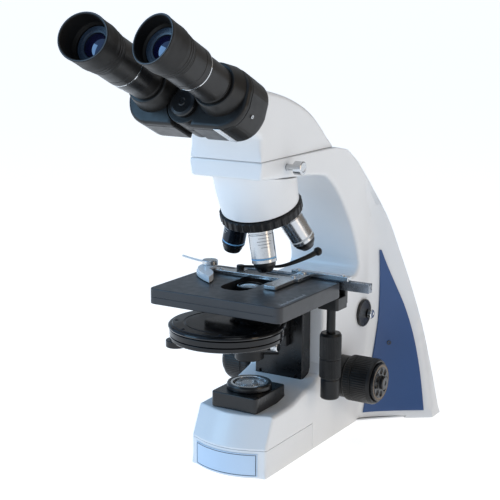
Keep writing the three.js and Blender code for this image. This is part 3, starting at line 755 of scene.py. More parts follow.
def flare(z):
    """Where the flank starts to flare at height z, and how far back and how far out it goes."""
    rim = max(3, 22 - z * 0.15)
    start = min(158 + min(z, 110) * 0.2, rear_y(z) - rim - 4)
    return start, rear_y(z) - rim - start, back_half(z) - BASE_HALF


def flank(z, u):
    """Point (x, y) of the flared flank: u runs from the flat side, 0, to the rear rim, 1."""
    start, length, width = flare(z)
    y = start + length * (0.6 * u * (1 - u) + u * u)
    return BASE_HALF + width * (0.24 * u * (1 - u) + u * u), y


def half_width(y, z):
    """Half the width of the stand at a point of its side view."""
    collar = smoothstep(z, COLLAR_FROM, COLLAR_TO)
    front = lerp(FRONT_Y + front_slope(z), -45, collar) + FRONT_CORNER
    if y < THROAT_Y:
        return lerp(lerp(BASE_HALF, COLLAR_HALF, collar), BASE_HALF, clamp((y - front) / (THROAT_Y - front)))
    start, length, _ = flare(z)
    if y <= start:
        return BASE_HALF
    share = clamp((y - start) / length)
    u = (math.sqrt(0.36 + 1.6 * share) - 0.6) / 0.8  # solves flank's y for u
    return flank(z, u)[0]


def front_slope(z):
    return 14 * clamp((z - 32) / 29)


def stand_outline():
    """Side view of the stand in (y, z), from the foot of the front round by the rear."""
    column = quadratic((75, 148), (76, 160), (92, 166), 6) + [(146, 168)]
    throat = quadratic((146, 168), (157, 171), (155, 182.4), 6)[1:]
    throat += quadratic((155, 182.4), (146, 212), (123.6, 239), 8)[1:]
    throat += quadratic((123.6, 239), (100, 270), (78.7, 281), 8)[1:]
    throat += quadratic((78.7, 281), (70, 285), (21, 288), 6)[1:]
    base_top = spline([(-20, 61), (12, 62.5), (34.5, 68.4), (55.4, 73), (70, 77.2)], 4)
    front = [(FRONT_Y, TABLE_TO_BASE), (FRONT_Y, 32), (FRONT_Y + 14, 61)]
    arm = [(-45, 292.4), (-45, SEAM_Z - GAP), (96, SEAM_Z - GAP), (119, 304.8)]
    rear = [p for p in reversed(REAR_EDGE[:-1]) if p[1] > TABLE_TO_BASE] + [(232.8, TABLE_TO_BASE)]
    ring = front + base_top + [(75, 88)] + column + throat + arm + rear
    return rounded(ring, 2.5, steps=3)


def stand_edge(z):
    """Radius of the stand's rounded rims: small at the table and under the head."""
    return min(lerp(1.0, 4.0, clamp((z - TABLE_TO_BASE) / 9)), lerp(4.0, 1.0, clamp((z - 295) / 9)))


def stand_block():
    """The stand before any cut, as wide at each point of its side view as the flanks ask for."""

    def flank_point(side):
        return lambda y, z, depth: (side * (half_width(y, z) - rounding(stand_edge(z), depth)), y, z)

    return pillow(stand_outline(), (flank_point(1), flank_point(-1)), STAND, 14, bend=bow_front)


def bow_front(bm):
    """Bends the front of the base forwards in the middle."""
    flat_half = BASE_HALF - FRONT_CORNER
    for vert in bm.verts:
        x, y, z = vert.co
        share = min(1, abs(x) / flat_half)
        bulge = FRONT_BULGE * (1 - smoothstep(z, COLLAR_FROM, COLLAR_TO))
        vert.co.y -= bulge * (1 - share * share) * (1 - smoothstep(y, -20, 8))


def bored_x(r, x0, x1, y, z):
    return bore(r, x0, x1, along_x(y, z), 48)


def cover_region(grow):
    return sharp_block(-60, 60, -70, COVER_REAR_Y - grow, -5, COVER_TOP_Z - grow)


def chamfer_seam(obj):
    """Breaks the edges that face the seam between the cover and the casting."""
    top, rear = COVER_TOP_Z * MM, COVER_REAR_Y * MM + AXIS_Y
    near = GAP * MM
    outer_x, outer_y = 40.5 * MM, AXIS_Y - 38 * MM

    def on_seam(edge):
        if len(edge.link_faces) != 2 or edge.calc_face_angle(0) < SEAM_ANGLE:
            return False
        on_top = all(abs(v.co.z - top) < near for v in edge.verts)
        on_rear = all(abs(v.co.y - rear) < near and v.co.z < top + near for v in edge.verts)
        middle = (edge.verts[0].co + edge.verts[1].co) / 2
        outside = abs(middle.x) > outer_x or middle.y < outer_y
        return (on_top or on_rear) and outside

    with edited(obj) as bm:
        edges = [edge for edge in bm.edges if on_seam(edge)]
        bmesh.ops.bevel(bm, geom=edges, offset=SEAM_CHAMFER * MM, segments=2, profile=0.5, affect="EDGES")
    return obj


def stand_casting(body):
    cut(
        body,
        slab(plate_outline(0.6), -5, 4.0, STAND, 0),
        cover_region(-GAP / 2),
        block(-37.5, 37.5, COVER_REAR_Y + 3, 205, -5, 26, 4, 0),
        block(-26.4, 26.4, -30.4, 27.4, 61.2, 90, 3, 0),
        block(-28.5, 28.5, 57.3, 75, 51, 100, 3, 0),
        bore(20, 20, 70),
        bore(25, 296.4, 320),
        bore(16, 280, 300),
        bored_x(8.2, -140, 140, FOCUS_Y, FOCUS_Z),
        block(-50, 50, 228, 240, 14, 62, 2, 0),
        block(-40, 40, 196, 240, 18, 50, 2, 0),
        bored_x(3.3, 20, 60, 0, CLAMP_Z),
        bored_x(7.2, -50, -30, DIAL_Y, DIAL_Z),
    )
    rail = block(-12, 12, 68, 75.3, 84, 146, 0.8, 0.6)
    return chamfer_seam(merged(body, rail))


def front_cover(body):
    common(body, cover_region(GAP / 2))
    inner = block(-39.5, 39.5, -37, 70, -5, 27, 3, 0)
    cut(body, inner, bore(20, 20, 24), bored_x(7.2, -50, -30, DIAL_Y, DIAL_Z))
    return chamfer_seam(body)


def plate_outline(grow):
    half, foot = 36 + grow, 92 + grow
    front, neck, rear = -33 - grow, 204 - grow, 219 + grow
    return [(-half, front), (half, front), (half, 150), (foot, neck), (foot, rear), (-foot, rear),
            (-foot, neck), (-half, 150)]


def side_panel(side):
    """Blue laminate that follows the flank, with a straight foot and a long point."""

    def surface(s, t, offset):
        z = lerp(10, 188, t)
        u = lerp(0.14 + 0.33 * t, 0.93 - 0.4 * t**3, s)
        x, y = flank(z, u)
        next_x, next_y = flank(z, u + 0.01)
        away = Vector((next_y - y, x - next_x)).normalized()
        return Vector((side * (x + away.x * offset), y + away.y * offset, z))

    return sheet(surface, (0.4, 1.9), 14, 34)


def panel_screw(side):
    height = 84
    x, y = flank(height, 0.55)
    next_x, next_y = flank(height, 0.56)
    out = Vector((next_y - y, x - next_x, 0)).normalized()
    out.x *= side
    origin = Vector((side * x, y, height)) + out * 1.5
    return cap_screw(2.4, 1.2, axes(origin, Z.cross(out).normalized(), Z, out))


def cap_screw(r, height, place):
    """A low round head with a hexagon socket, standing on local z = 0."""
    hexagon = r / 2
    profile = [(0, height * 0.2), (hexagon, height * 0.2), (hexagon, height), (r, height), (r, 0), (0, 0)]

    def relief(angle, own_r, z):
        if own_r > hexagon * 1.2:
            return own_r, z
        sixth = math.pi / 3
        return own_r / math.cos((angle % sixth) - sixth / 2) * 0.95, z

    return turned(rounded(profile, r * 0.12, closed=False, steps=3), place, 48, relief)


def front_strip(x0, x1, z0, z1, thickness):
    """A strip that follows the bowed front of the cover."""

    def surface(s, t, offset):
        x = lerp(x0, x1, s)
        share = min(1, abs(x) / (BASE_HALF - FRONT_CORNER))
        return Vector((x, FRONT_Y - FRONT_BULGE * (1 - share * share) - offset, lerp(z0, z1, t)))

    columns = max(1, int(abs(x1 - x0) / 3))
    return sheet(surface, thickness, columns, 1, rim=0.1)


def front_plate():
    put("front_label_plate_sheet", front_strip(-35, 35, 4, 27, (0.15, 0.95)), LABEL, "front_label_plate")
    line, low, high = 0.55, 4.9, 26.1
    inner = (0.9, 1.15)
    strips = [front_strip(-34, 34, z, z + line, inner) for z in (low, high - line)]
    strips += [front_strip(x, x + line, low + line, high - line, inner) for x in (-34, 34 - line)]
    put("front_label_border", gathered(*strips), INK, body="stand")


def foot_ring(x, y):
    """Rubber foot with two moulded grooves round its side."""
    profile = [(0, 0), (5.4, 0), (6.7, 0.25), (7, 0.7), (6.7, 0.9), (7, 1.1), (7, 1.5), (6.7, 1.9), (0, 1.9)]
    return turned(profile, at(x, y), 40)


def rear_panel():
    body = block(-49.7, 49.7, 14.3, 61.7, -231, -228.3, 2, 0.5, REAR_VIEW)
    slots = [block(x, x + 2.4, 50, 58, -235, -220, 1.1, 0, REAR_VIEW) for x in range(-38, 40, 6)]
    openings = [block(-30, -4, 22, 46, -235, -220, 1, 0, REAR_VIEW),
                block(12, 32, 26, 42, -235, -220, 1, 0, REAR_VIEW)]
    cut(body, *slots, *openings)
    put("rear_panel_cover", body, PLASTIC, "rear_panel")
    flip = Matrix.Rotation(math.pi, 4, "X")
    screws = [cap_screw(1.9, 0.6, REAR_VIEW @ Matrix.Translation((x, z, -230.7)) @ flip)
              for x in (-45, 45) for z in (19, 57)]
    put("rear_panel_screws", gathered(*screws), STEEL, body="stand")


def power_inlet():
    shroud = block(-29.7, -4.3, 22.3, 45.7, -231.5, -208, 2, 0.6, REAR_VIEW)
    cut(shroud, block(-27, -7, 25, 43, -240, -214, 3, 0, REAR_VIEW))
    put("power_inlet_shroud", shroud, PLASTIC, "power_inlet")
    pins = [block(x - 1, x + 1, z - 2, z + 2, -227, -213.8, 0.6, 0.5, REAR_VIEW)
            for x, z in ((-22.5, 32), (-17, 37), (-11.5, 32))]
    put("power_inlet_pins", gathered(*pins), CHROME, body="stand")


def rocker():
    middle, half = 22, 9.6
    body = disc(7.6, middle - half, middle + half, along_x(226.5, 34), 0.8, 72)
    put("power_rocker", body, PLASTIC, "power_switch")


def brightness_dial():
    profile = [(0, 34), (6.5, 34), (6.5, 43), (9, 43), (9, 51.9), (7.4, 51.9), (7.0, 51.2), (0, 51.2)]
    body = lathe(profile, 0.7, along_x(DIAL_Y, DIAL_Z, -1), 240, ribs(40, 0.5, 43.8, 50.8, 8))
    put("brightness_wheel", body, PLASTIC, "brightness_dial")
    mark = block(-0.35, 0.35, 2.5, 6.2, 51.1, 51.5, 0.2, 0.1, along_x(DIAL_Y, DIAL_Z, -1))
    put("brightness_mark", mark, MARKS, body="dial")


def stand():
    block_shape = stand_block()
    cover_shape = added("cover", block_shape.data.copy())
    put("stand_body", stand_casting(block_shape), WHITE, "stand_casting")
    put("front_cover", front_cover(cover_shape), WHITE_PLASTIC, "base_front_cover")
    keep("base_plate", STEEL)
    keep("led_module", STEEL)
    for corner, x, y in FEET:
        put("rubber_foot_" + corner, foot_ring(x, y), RUBBER, "foot_" + corner)
    front_plate()
    for side, hand in ((1, "right"), (-1, "left")):
        put("panel_" + hand, side_panel(side), BLUE, "side_panel_" + hand)
        put("panel_screw_" + hand, panel_screw(side), INK, body="stand")
    rear_panel()
    power_inlet()
    rocker()
    brightness_dial()


# ---------- illuminator ----------
def illuminator():
    body = block(-26, 26, -30, 27, 61.5, 77, 4, 1.0)
    put("illuminator_housing", cut(body, bore(17, 50, 90)), BLACK, "illuminator_block")
    profile = [(17.5, 77.3), (22.5, 77.3), (22.5, 81.4), (21.6, 83), (19.2, 83), (18.9, 81.9), (17.5, 81.9)]
    collar = lathe(profile, 0.4, STAND, 360, ribs(60, 0.45, 77.9, 81.2, 22))
    put("field_collar", collar, BLACK, "field_diaphragm_ring")
    rim = lathe([(16.4, 80.2), (17.4, 80.2), (18.7, 82.1), (18.7, 82.8), (16.4, 82.6)], 0.25, STAND, ROUND)
    put("field_chrome_rim", rim, CHROME, body="field_ring")
    steps = [(0, 73.5), (16.3, 73.5), (16.3, 80)]
    for r in (14.6, 12.6, 10.6, 8.6):
        steps += [(r, 80.3 + (15 - r) * 0.12), (r - 0.3, 81.1 + (15 - r) * 0.12)]
    steps += [(5, 82.2), (0, 82.4)]
    put("field_lens_glass", lathe(steps, 0.2, STAND, ROUND), GLASS, "field_lens")


# ---------- binocular head ----------
def head_outline():
    """Side view of the head housing in (y, z)."""

    def corner(s, up):
        p = EYE_POINT - TUBE_DIR * s + TUBE_UP * up
        return p.y, p.z

    ridge = [(-36, 374.6), (-15, 370.5), (8, 364.5), (33, 355.5), (52, 346), (70, 333), (84, 321),
             (93, 311.5)]
    top = spline(ridge, 5)
    front = [(-45, SEAM_Z, 0.4), (-45, 332, 4), (*corner(WING_BACK + GAP, -21), 3)]
    crown = [(*corner(WING_BACK + GAP, 20), 5)]
    return rounded(front + crown + [(*p, 0) for p in top] + [(94, SEAM_Z, 0.4)], 3)


def head_housing():
    def cheek(side):
        def point(y, z, depth):
            radius = lerp(0.6, 4.5, clamp((z - 311) / 9))
            return y, z, side * (COLLAR_HALF - 0.2 - rounding(radius, depth))
        return point

    shell = pillow(head_outline(), (cheek(-1), cheek(1)), SIDE_VIEW, 10)
    pin_hole = bore(PIN_R + GAP, 140, 166, HINGE)
    spigot = disc(22, 297, 320, STAND, 0.6)
    cut(merged(shell, spigot), bore(16, 290, 340), pin_hole)
    put("head_shell", shell, WHITE, "head_housing")


def wing_outline():
    """End view of a wing in (x, up) from the hinge, counter-clockwise."""
    lower = [(9, -20.3), (38, -20.3)] + quadratic((40, -20.3), (58, -18), (62, 2), 10) + [(62, 15)]
    upper = quadratic((62, 16), (60, 31), (45, 35.5), 8) + arc((PUPIL_HALF, HINGE_DROP), 24, 68, 176)
    return rounded(lower + upper[:-1] + [(10.6, 8), (9, 2)], 1.2)


def wing_face(height, radius, sign):
    def surface(x, up, depth):
        return x, up, height + sign * rounding(radius, depth)
    return surface


def wing(side):
    """Prism housing that swings about the hinge, with a stepped collar for its tube."""
    walls = [(117.2, 0), (117.6, 0.5), (118.4, 0.5), (118.8, 0), (125, 0), (133, 0), (140, 0.1)]
    faces = (wing_face(WING_SHOULDER, 3.6, 1), wing_face(WING_BACK, 4.6, -1))
    body = pillow(wing_outline(), faces, LOCAL, walls, 5)
    profile = [(0, WING_FRONT), (19.6, WING_FRONT), (20.5, 98), (23.2, 109.5), (24, 113), (24, 117), (0, 117)]
    to_tube = LOCAL @ Matrix.Translation((PUPIL_HALF, HINGE_DROP, 0))
    collar = lathe(profile, 1.0, to_tube, ROUND)
    own = (WING_SHOULDER + 0.1, WING_SPLIT - GAP) if side > 0 else (WING_SPLIT, WING_BACK - 0.1)
    other = (WING_SPLIT - GAP, WING_BACK + 1) if side > 0 else (WING_SHOULDER - 1, WING_SPLIT)
    merged(body, collar, disc(HUB_R, *own, LOCAL, 1.0, ROUND))
    cut(body, disc(HUB_R + 0.6, *other, LOCAL, 0, ROUND), bore(PIN_R + GAP, 90, 155, LOCAL),
        bore(12, 90, WING_BACK - 14, to_tube))
    return seated(body, wing_place(side))


def wing_place(side):
    return HINGE @ Matrix.Diagonal((side, 1, 1, 1))


def wing_trim():
    """Bright strip that runs along the lower edge of the right wing."""
    return slab(rectangle(33.5, 40.5, -20.9, -20.2, 0.3), 114, 146, wing_place(1), 0.25)


def wing_screw(side):
    out = Vector((math.cos(WING_SCREW_TURN) * side, math.sin(WING_SCREW_TURN), 0))
    across = Vector((-out.y, out.x, 0))
    turn = Matrix((across, Z, out)).transposed().to_4x4()
    return cap_screw(1.7, 0.8, HINGE @ Matrix.Translation((side * 60.9, -3, 127)) @ turn)


def hinge_cap():
    profile = [(0, 106), (3.2, 106), (3.6, 106.6), (9.8, 106.6), (12.2, 107.6), (12.8, 109), (12.8, 111.7),
               (5, 111.7), (5, 164), (0, 164)]
    cap = lathe(profile, 0.4, HINGE, ROUND)
    return cut(cap, block(-2.4, 2.4, -0.4, 0.4, 105, 106.6, 0.2, 0, HINGE))


def eyecup(side):
    """Soft rubber cup with a raised outer side."""
    slope = CUP_SLANT * side
    profile = [(19.9, 0.3), (20.6, 0), (21.4, 0), (22, 0.7), (21.7, 4), (21.5, 12), (21.7, 20),
               (21.4, 23.4), (20.6, 24.2), (20.6, 25), (20.9, 26), (20.4, 27.4), (20.3, 28.4), (20.5, 29.6),
               (20.1, 31), (20, 33.4), (19.4, 34), (17.6, 34), (17.6, 17), (18.2, 16.2), (19.4, 14.4),
               (19.7, 10)]

    def relief(angle, r, z):
        reach = 1 - smoothstep(z, 4, 22)
        return r, z - r * math.cos(angle) * slope * reach

    return lathe(profile, 0.5, on_tube(side), ROUND, relief)


def eyecup_rim_highlight(side):
    """The pale bead round the mouth of the cup, a painted highlight: paler bluish rubber where the light
    catches the rim.
    """
    slope = CUP_SLANT * side

    def slanted(angle, r, z):
        return r, z - r * math.cos(angle) * slope

    highlight_bead = [(20.7, 0.2), (21.5, 0.2), (21.5, -0.12), (20.7, -0.12)]
    return lathe(highlight_bead, 0.15, on_tube(side), ROUND, slanted)


def bezel(side):
    """Ring round the eye lens, with a step; its slate-blue tone is a painted reflection of the cool light."""
    profile = [(11.4, 18.2), (13.2, 17.9), (13.5, 17.5), (16.9, 17.2), (16.9, 18.4), (11.4, 18.4)]
    return lathe(profile, 0.15, on_tube(side), ROUND)


def eyepiece(side):
    profile = [(11.2, 18.5), (12, 18.5), (14.6, 19.2), (14.8, 18.7), (16.6, 18.7), (17.2, 19.2), (17.2, 34.3),
               (18.9, 34.3), (19.4, 34.9), (19.4, 52), (19.1, 52.3), (19.1, 53), (19.4, 53.3), (19.4, 60.2),
               (19.0, 60.4), (19.0, 61.6), (18.6, 62), (14.2, 62), (14.2, 92), (11.2, 92)]
    return lathe(profile, 0.25, on_tube(side), ROUND)


def eyepiece_ring(side):
    return hoop(19.02, 19.38, 60.5, 61.5, on_tube(side), 0.1, ROUND)


def tube(side):
    start = 63 if side > 0 else 78.4
    end = WING_FRONT - GAP
    profile = [(14.6, start), (16.9, start), (17.5, start + 0.6), (17.5, 93), (17.1, 93.3), (17.1, 94),
               (17.5, 94.3), (17.5, end), (14.6, end)]
    return lathe(profile, 0.2, on_tube(side), ROUND)


def eye_lens(side):
    dome = [(r, 16.4 + 2.2 * (r / 10.8) ** 2) for r in (0, 2, 4, 6, 8, 9.6, 10.8)]
    return turned(dome + [(10.8, 26), (0, 26)], on_tube(side), ROUND)


def radial_ticks(count, r, size, place):
    """Short marks round a circle, each fifth one longer. size is (across, out, high)."""
    marks = []
    for k in range(count):
        reach = size[1] * (1.7 if k % 5 == 0 else 1)
        spin = spun(place, TAU * k / count)
        marks.append(sharp_block(r - reach, r, -size[0] / 2, size[0] / 2, 0, size[2], spin))
    return gathered(*marks)


def diopter_ring():
    place = on_tube(-1)
    profile = [(14.6, 62.4), (18.4, 62.4), (19, 63), (19, 70.4), (18.5, 71), (18.2, 71.4), (18.2, 81),
               (17.9, 81.4), (17.9, 75.4), (14.6, 75.4)]
    ring = lathe(profile, 0.2, place, 288, ribs(48, 0.4, 63.2, 70.3, 18.8))
    marks = []
    for k in range(-6, 7):
        high = 3.4 if k % 3 == 0 else 2.0
        spin = spun(place, math.radians(200 + k * 9))
        marks.append(sharp_block(18.15, 18.3, -0.22, 0.22, 80.2 - high, 80.2, spin))
    put("diopter_sleeve", ring, BLACK, "diopter_ring")
    put("diopter_scale", gathered(*marks), MARKS, body="diopter")


def clamp_screw():
    """Knurled screw that locks the head."""
    profile = [(0, 23), (2.4, 23), (3, 23.8), (3, 48), (4.4, 48), (4.4, 49), (6.5, 49.4), (6.5, 57.4),
               (5.6, 58), (3.6, 58), (3.2, 57.6), (0, 57.6)]
    place = along_x(0, CLAMP_Z)
    return lathe(profile, 0.3, place, 216, ribs(36, 0.4, 49.9, 57.0, 6))


def head():
    head_housing()
    put("hinge_cap", hinge_cap(), BLACK, "hinge_pin")
    put("wing_trim_right", wing_trim(), STEEL, body="wing_right")
    for side, hand in ((1, "right"), (-1, "left")):
        eye_body = "wing_right" if side > 0 else "eyepiece_focus"
        put("prism_housing_" + hand, wing(side), SATIN, "prism_wing_" + hand)
        put("wing_screw_" + hand, wing_screw(side), STEEL, body="wing_" + hand)
        put("tube_" + hand, tube(side), SATIN, "eyepiece_tube_" + hand)
        put("ocular_" + hand, eyepiece(side), SATIN, "eyepiece_" + hand)
        put("ocular_ring_" + hand, eyepiece_ring(side), CHROME, body=eye_body)
        # painted reflection: the bezel's slate-blue tone
        put("ocular_bezel_" + hand, bezel(side), BEZEL_REFLECTION, body=eye_body)
        put("rubber_eyecup_" + hand, eyecup(side), RUBBER, "eyecup_" + hand)
        # painted highlight: a paler bead on the cup's rim
        put("eyecup_highlight_bead_" + hand, eyecup_rim_highlight(side), CUP_RIM_HIGHLIGHT, body="cup_" + hand)
        put("ocular_glass_" + hand, eye_lens(side), COATED, "eye_lens_" + hand)
    diopter_ring()
    put("head_clamp_knob", clamp_screw(), STEEL, "head_clamp_screw")


# ---------- nosepiece ----------
def nosepiece_mount():
    cone = lathe([(0, -70), (40, -70), (40, -34), (38.5, -11.6), (0, -11.6)], 1.0, IN_TURRET, 128)
    under_arm = slab([(-70, 200), (90, 200), (90, 281.9), (60, 283.8), (21, 287.6), (-70, 293.6)], -60, 60,
                     SIDE_VIEW, 0)
    return cut(common(cone, under_arm), bore(15, 220, 320), bore(5.3, -40, 0, IN_TURRET))


def nosepiece_turret():
    """Revolving plate with a coarse scalloped rim and a boss for each objective."""
    profile = [(0, -30), (5, -30), (5, -8), (30, -8), (30, -10.6), (39.2, -10.9), (40.2, -10.4), (41, -9.6),
               (41, -2.6), (40, -1.4), (38.4, -1), (33, -1), (30.5, -2), (30.4, -3), (0, -3)]
    body = lathe(profile, 0.4, IN_TURRET, 384, ribs(32, 1.1, -9.9, -2.0, 39.8))
    angles = (0, 90, 180, 270)
    pads = [disc(13.2, -6, 0, objective_place(a), 0.8, 72) for a in angles]
    pockets = [bore(9.4, -20, 1, objective_place(a), 48) for a in angles]
    pockets += [bore(12.7, 0.1, 20, objective_place(a), 48) for a in angles]
    return cut(merged(body, *pads), *pockets)


Lens = namedtuple("Lens", "power angle barrel nose length look band")
LENSES = (
    Lens("40x", 0, 12.2, 7, OBJECTIVE_LENGTH, "steel", "sky"),
    Lens("100x", 90, 12.2, 6.5, OBJECTIVE_LENGTH, "steel", "white"),
    Lens("4x", 180, 12.2, 10, 30, "steel", "white"),
    Lens("10x", 270, 11.6, 8.5, 38, "dark", "sky"),
)


def lens_marks(lens, place):
    """Blank lines on a barrel where its figures would be."""
    marks = []
    for height, reach in ((11, 26), (14, 34), (17, 30), (20, 18)):
        for centre in (70, 250):
            curve = arc((0, 0), lens.barrel, centre - reach, centre + reach, 8)
            line = [(x, y, height * lens.length / OBJECTIVE_LENGTH) for x, y in curve]
            marks.append(rod(line, [0.22] * len(line), place, 6))
    return gathered(*marks)


def objective(lens):
    """Barrel with its thread, knurl and colour band, its blank lines, a dark nose and a front lens."""
    place = objective_place(lens.angle)
    r, tip = lens.barrel, lens.length
    band = tip * BAND_SHARE
    nose_start = tip * NOSE_SHARE
    body = [(0, -4), (8.6, -4), (9, -3.5), (9, 0.4), (r - 0.6, 0.4), (r, 1), (r, 6.2), (r - 0.4, 6.6),
            (r - 0.4, 7.6), (r, 8), (r, band - 0.9), (r - 0.35, band - 0.7), (r - 0.35, band + 0.7),
            (r, band + 0.9), (r, nose_start - 0.6), (r - 0.7, nose_start), (0, nose_start)]
    spin = ribs(60, 0.25, 1.2, 6.0, r - 0.3)
    barrel = lathe(body, 0.15, place, 240, spin)
    ring = hoop(r - 0.34, r - 0.02, band - 0.65, band + 0.65, place, 0.1, ROUND)
    marks = lens_marks(lens, place)
    middle = (r + lens.nose) / 2
    front = [(0, nose_start + 0.02), (r - 1.2, nose_start + 0.02), (r - 1.6, tip - 6), (middle, tip - 4),
             (lens.nose + 0.4, tip - 1), (lens.nose, tip), (3.4, tip), (3, tip - 0.9), (0, tip - 0.9)]
    nose = lathe(front, 0.4, place, ROUND)
    glass = turned([(0, tip - 0.86), (2.9, tip - 0.86), (2, tip - 0.4), (0, tip - 0.25)], place, 48)
    looks = {"steel": STEEL, "dark": DARK_METAL, "sky": SKY, "white": MARKS}
    put("objective_barrel_" + lens.power, barrel, looks[lens.look], "objective_" + lens.power)
    ink = INK if lens.look == "steel" else MARKS
    for part, obj, look in (("band", ring, looks[lens.band]), ("lines", marks, ink), ("nose", nose, BLACK),
                            ("front_lens", glass, COATED)):
        put(f"objective_{part}_{lens.power}", obj, look, body="turret")


def nosepiece():
    put("nosepiece_cone", nosepiece_mount(), WHITE, "nosepiece_mount")
    put("turret_ring", nosepiece_turret(), PLASTIC, "nosepiece_turret")
    for lens in LENSES:
        objective(lens)


# ---------- stage ----------
def stage_plate():
    plate = block(-69.4, 75.9, -73, 48, STAGE_BOTTOM, STAGE_TOP, 7, 0.9)
    slot = block(-15.6, 15.6, -38, 43, 160, 190, 15.4, 0)
    cut(plate, slot, sharp_block(-70, 76, -73.2, -72.6, 175.6, 176.2))
    return softened(plate, 0.5, 50)


def stage_scale():
    """Engraved scale along the right of the stage, without figures."""
    marks = []
    for k in range(31):
        length = 4.2 if k % 10 == 0 else 3.2 if k % 5 == 0 else 2.2
        y = -62 + k * 1.5
        marks.append(sharp_block(72 - length, 72, y - 0.14, y + 0.14, STAGE_TOP - 0.1, STAGE_TOP + 0.06))
    return gathered(*marks)


def stage_rail():
    """Bar with two grooves along its top and one along its back."""
    profile = [(48.3, 176), (56, 176), (56, 179), (54.4, 179), (54.4, 182), (56, 182), (56, 185), (54.4, 185),
               (54.4, 183.6), (53.2, 183.6), (53.2, 185), (51.2, 185), (51.2, 183.6), (50, 183.6), (50, 185),
               (48.3, 185)]
    return slab(rounded(profile, 0.2), -45, 105, SIDE_VIEW, 0.25)


def stage_carrier():
    upright = block(-28, 28, 58, 74.6, 69, 168.6, 1.5, 0.8)
    shelf = block(-40, 40, -22, 74.6, 163, 168.6, 3, 0.8)
    merged(upright, shelf)
    cut(upright, bore(20, 150, 175), sharp_block(-12.4, 12.4, 67.6, 90, 50, 162.6),
        *[bore(2.2, 50, 60, axes((x, 0, z), X, Z, Y), 32)
          for x in (-21, 21) for z in (76, 156)])
    return upright


def drive_bracket():
    body = merged(block(53, 76, 40, 62, 156, 168.6, 3, 0.7), block(53, 76, 56.3, 62, 160, 184, 1.2, 0.7))
    return cut(body, bore(4.8, 150, 166, at(DRIVE_X, DRIVE_Y)))


def drive_knobs():
    place = at(DRIVE_X, DRIVE_Y)
    upper = [(3.4, 85), (10.4, 85), (11, 85.6), (11, 104), (10.3, 104.4), (10.3, 105.4), (11, 105.8),
             (11, 128.4), (10.4, 129.4), (9.6, 131), (4.5, 131), (4.5, 158), (3.4, 158)]
    grip = lathe(upper, 0.3, place, 264, ribs(44, 0.35, 0, 128.4, 10.8))
    put("stage_y_knob_grip", grip, PLASTIC, "stage_y_knob")
    lower = [(0, 63), (8, 63), (8.6, 63.2), (9.5, 64.2), (9.5, 82.6), (9.0, 83.4), (9.0, 84.7), (3, 84.7),
             (3, 162), (0, 162)]
    grip = lathe(lower, 0.3, place, 240, ribs(40, 0.35, 64.5, 82.4, 9.3))
    put("stage_x_knob_grip", grip, PLASTIC, "stage_x_knob")


def slide_holder():
    outline = [(-64, 13), (40, 13), (40, 24), (-22, 24), (-22, 33), (-34, 33), (-34, 24), (-64, 24)]
    bar = slab(rounded(outline, 1.5), HOLDER_LOW, HOLDER_TOP, STAND, 0.35)
    leg = block(26, 40, -19, 14, HOLDER_LOW, HOLDER_TOP, 1.5, 0.35)
    tongue = block(28, 43, 20, 50, HOLDER_LOW, HOLDER_TOP, 1.2, 0.35)
    lug = block(20, 84, 46, 53.6, 185.6, 190.2, 1.5, 0.5)
    body = merged(bar, leg, tongue, lug)
    put("slide_holder_frame", body, STEEL, "slide_holder")
    spots = [(35, 25, 188.3), (35, 44.5, 188.3), (26, 49.8, 190.1), (76, 49.8, 190.1), (-44, 18.5, 188.3)]
    put("slide_holder_screws", gathered(*[cap_screw(2.1, 1.1, at(*p)) for p in spots]), CHROME, body="holder")


def holder_finger():
    claw = quadratic((-66, 18), (-68, -4), CLAW_TIP, 12) + quadratic(CLAW_TIP, (-32, -8), (-50, 4), 10)[1:]
    outline = rounded([(*p, 0) for p in claw] + [(-50, 18, 1), (-58, 25.5, 6)], 0)
    upper = slab(outline, 188.8, 191.4, STAND, 0.3)
    tail = quadratic((-65.6, 8), (-63, -8), CLAW_TIP, 10) + quadratic(CLAW_TIP, (-32, -8), (-50, 4), 8)[1:]
    lower = slab([*tail, (-50, 8)], 185, 189, STAND, 0.3)
    rod_path = [(-64, 17, 194), (-70, 16, 194.6), (-76, 15, 195.5), (-82, 14, 196.7), (-88, 13, 198)]
    body = merged(upper, lower, rod(rod_path, [1.1] * 5))
    put("slide_claw", body, WHITE, "holder_finger")
    profile = [(0, 191), (7.2, 191), (8, 191.8), (8, 195.8), (7.2, 196.6), (4, 197), (3.6, 196.6), (0, 196.6)]
    knob = lathe(profile, 0.3, at(*FINGER_PIVOT), 192, ribs(32, 0.4, 192.2, 195.4, 7.8))
    put("slide_claw_pivot", knob, STEEL, body="finger")


def holder_lever():
    path = spline([(-28, 28, 191.4), (-1.5, 38, 192.2), (12, 47, 193.4), (27, 66, 200), LEVER_TIP], 8)
    count = len(path) - 1
    radii = [lerp(1.3, 2.8, smoothstep(i / count, 0.2, 1)) for i in range(count + 1)]
    stem = rod(path, radii)
    tip = axes(LEVER_TIP, *tip_axes(Vector(path[-1]) - Vector(path[-2])))
    ball = [(0, -3.4), (2.8, -3.4), (4.3, -1.8), (4.5, 0), (4, 2.2), (2, 3.9), (0, 4.3)]
    knob = lathe(ball, 0.8, tip, 48)
    hub = disc(4, 188.8, 192.6, at(*LEVER_PIVOT), 0.5)
    return merged(stem, knob, hub)


def tip_axes(ahead):
    ahead = ahead.normalized()
    side = ahead.orthogonal().normalized()
    return side, ahead.cross(side), ahead


def stage():
    put("stage_top_plate", stage_plate(), ANODISED, "stage_plate")
    put("stage_scale", stage_scale(), MARKS, body="stage")
    put("stage_guide_rail", stage_rail(), RAIL, "stage_rail")
    put("stage_focus_carrier", stage_carrier(), BLACK, "stage_carrier")
    put("drive_knob_bracket", drive_bracket(), SATIN, "drive_bracket")
    drive_knobs()
    slide_holder()
    holder_finger()
    put("slide_lever", holder_lever(), PLASTIC, "holder_lever")


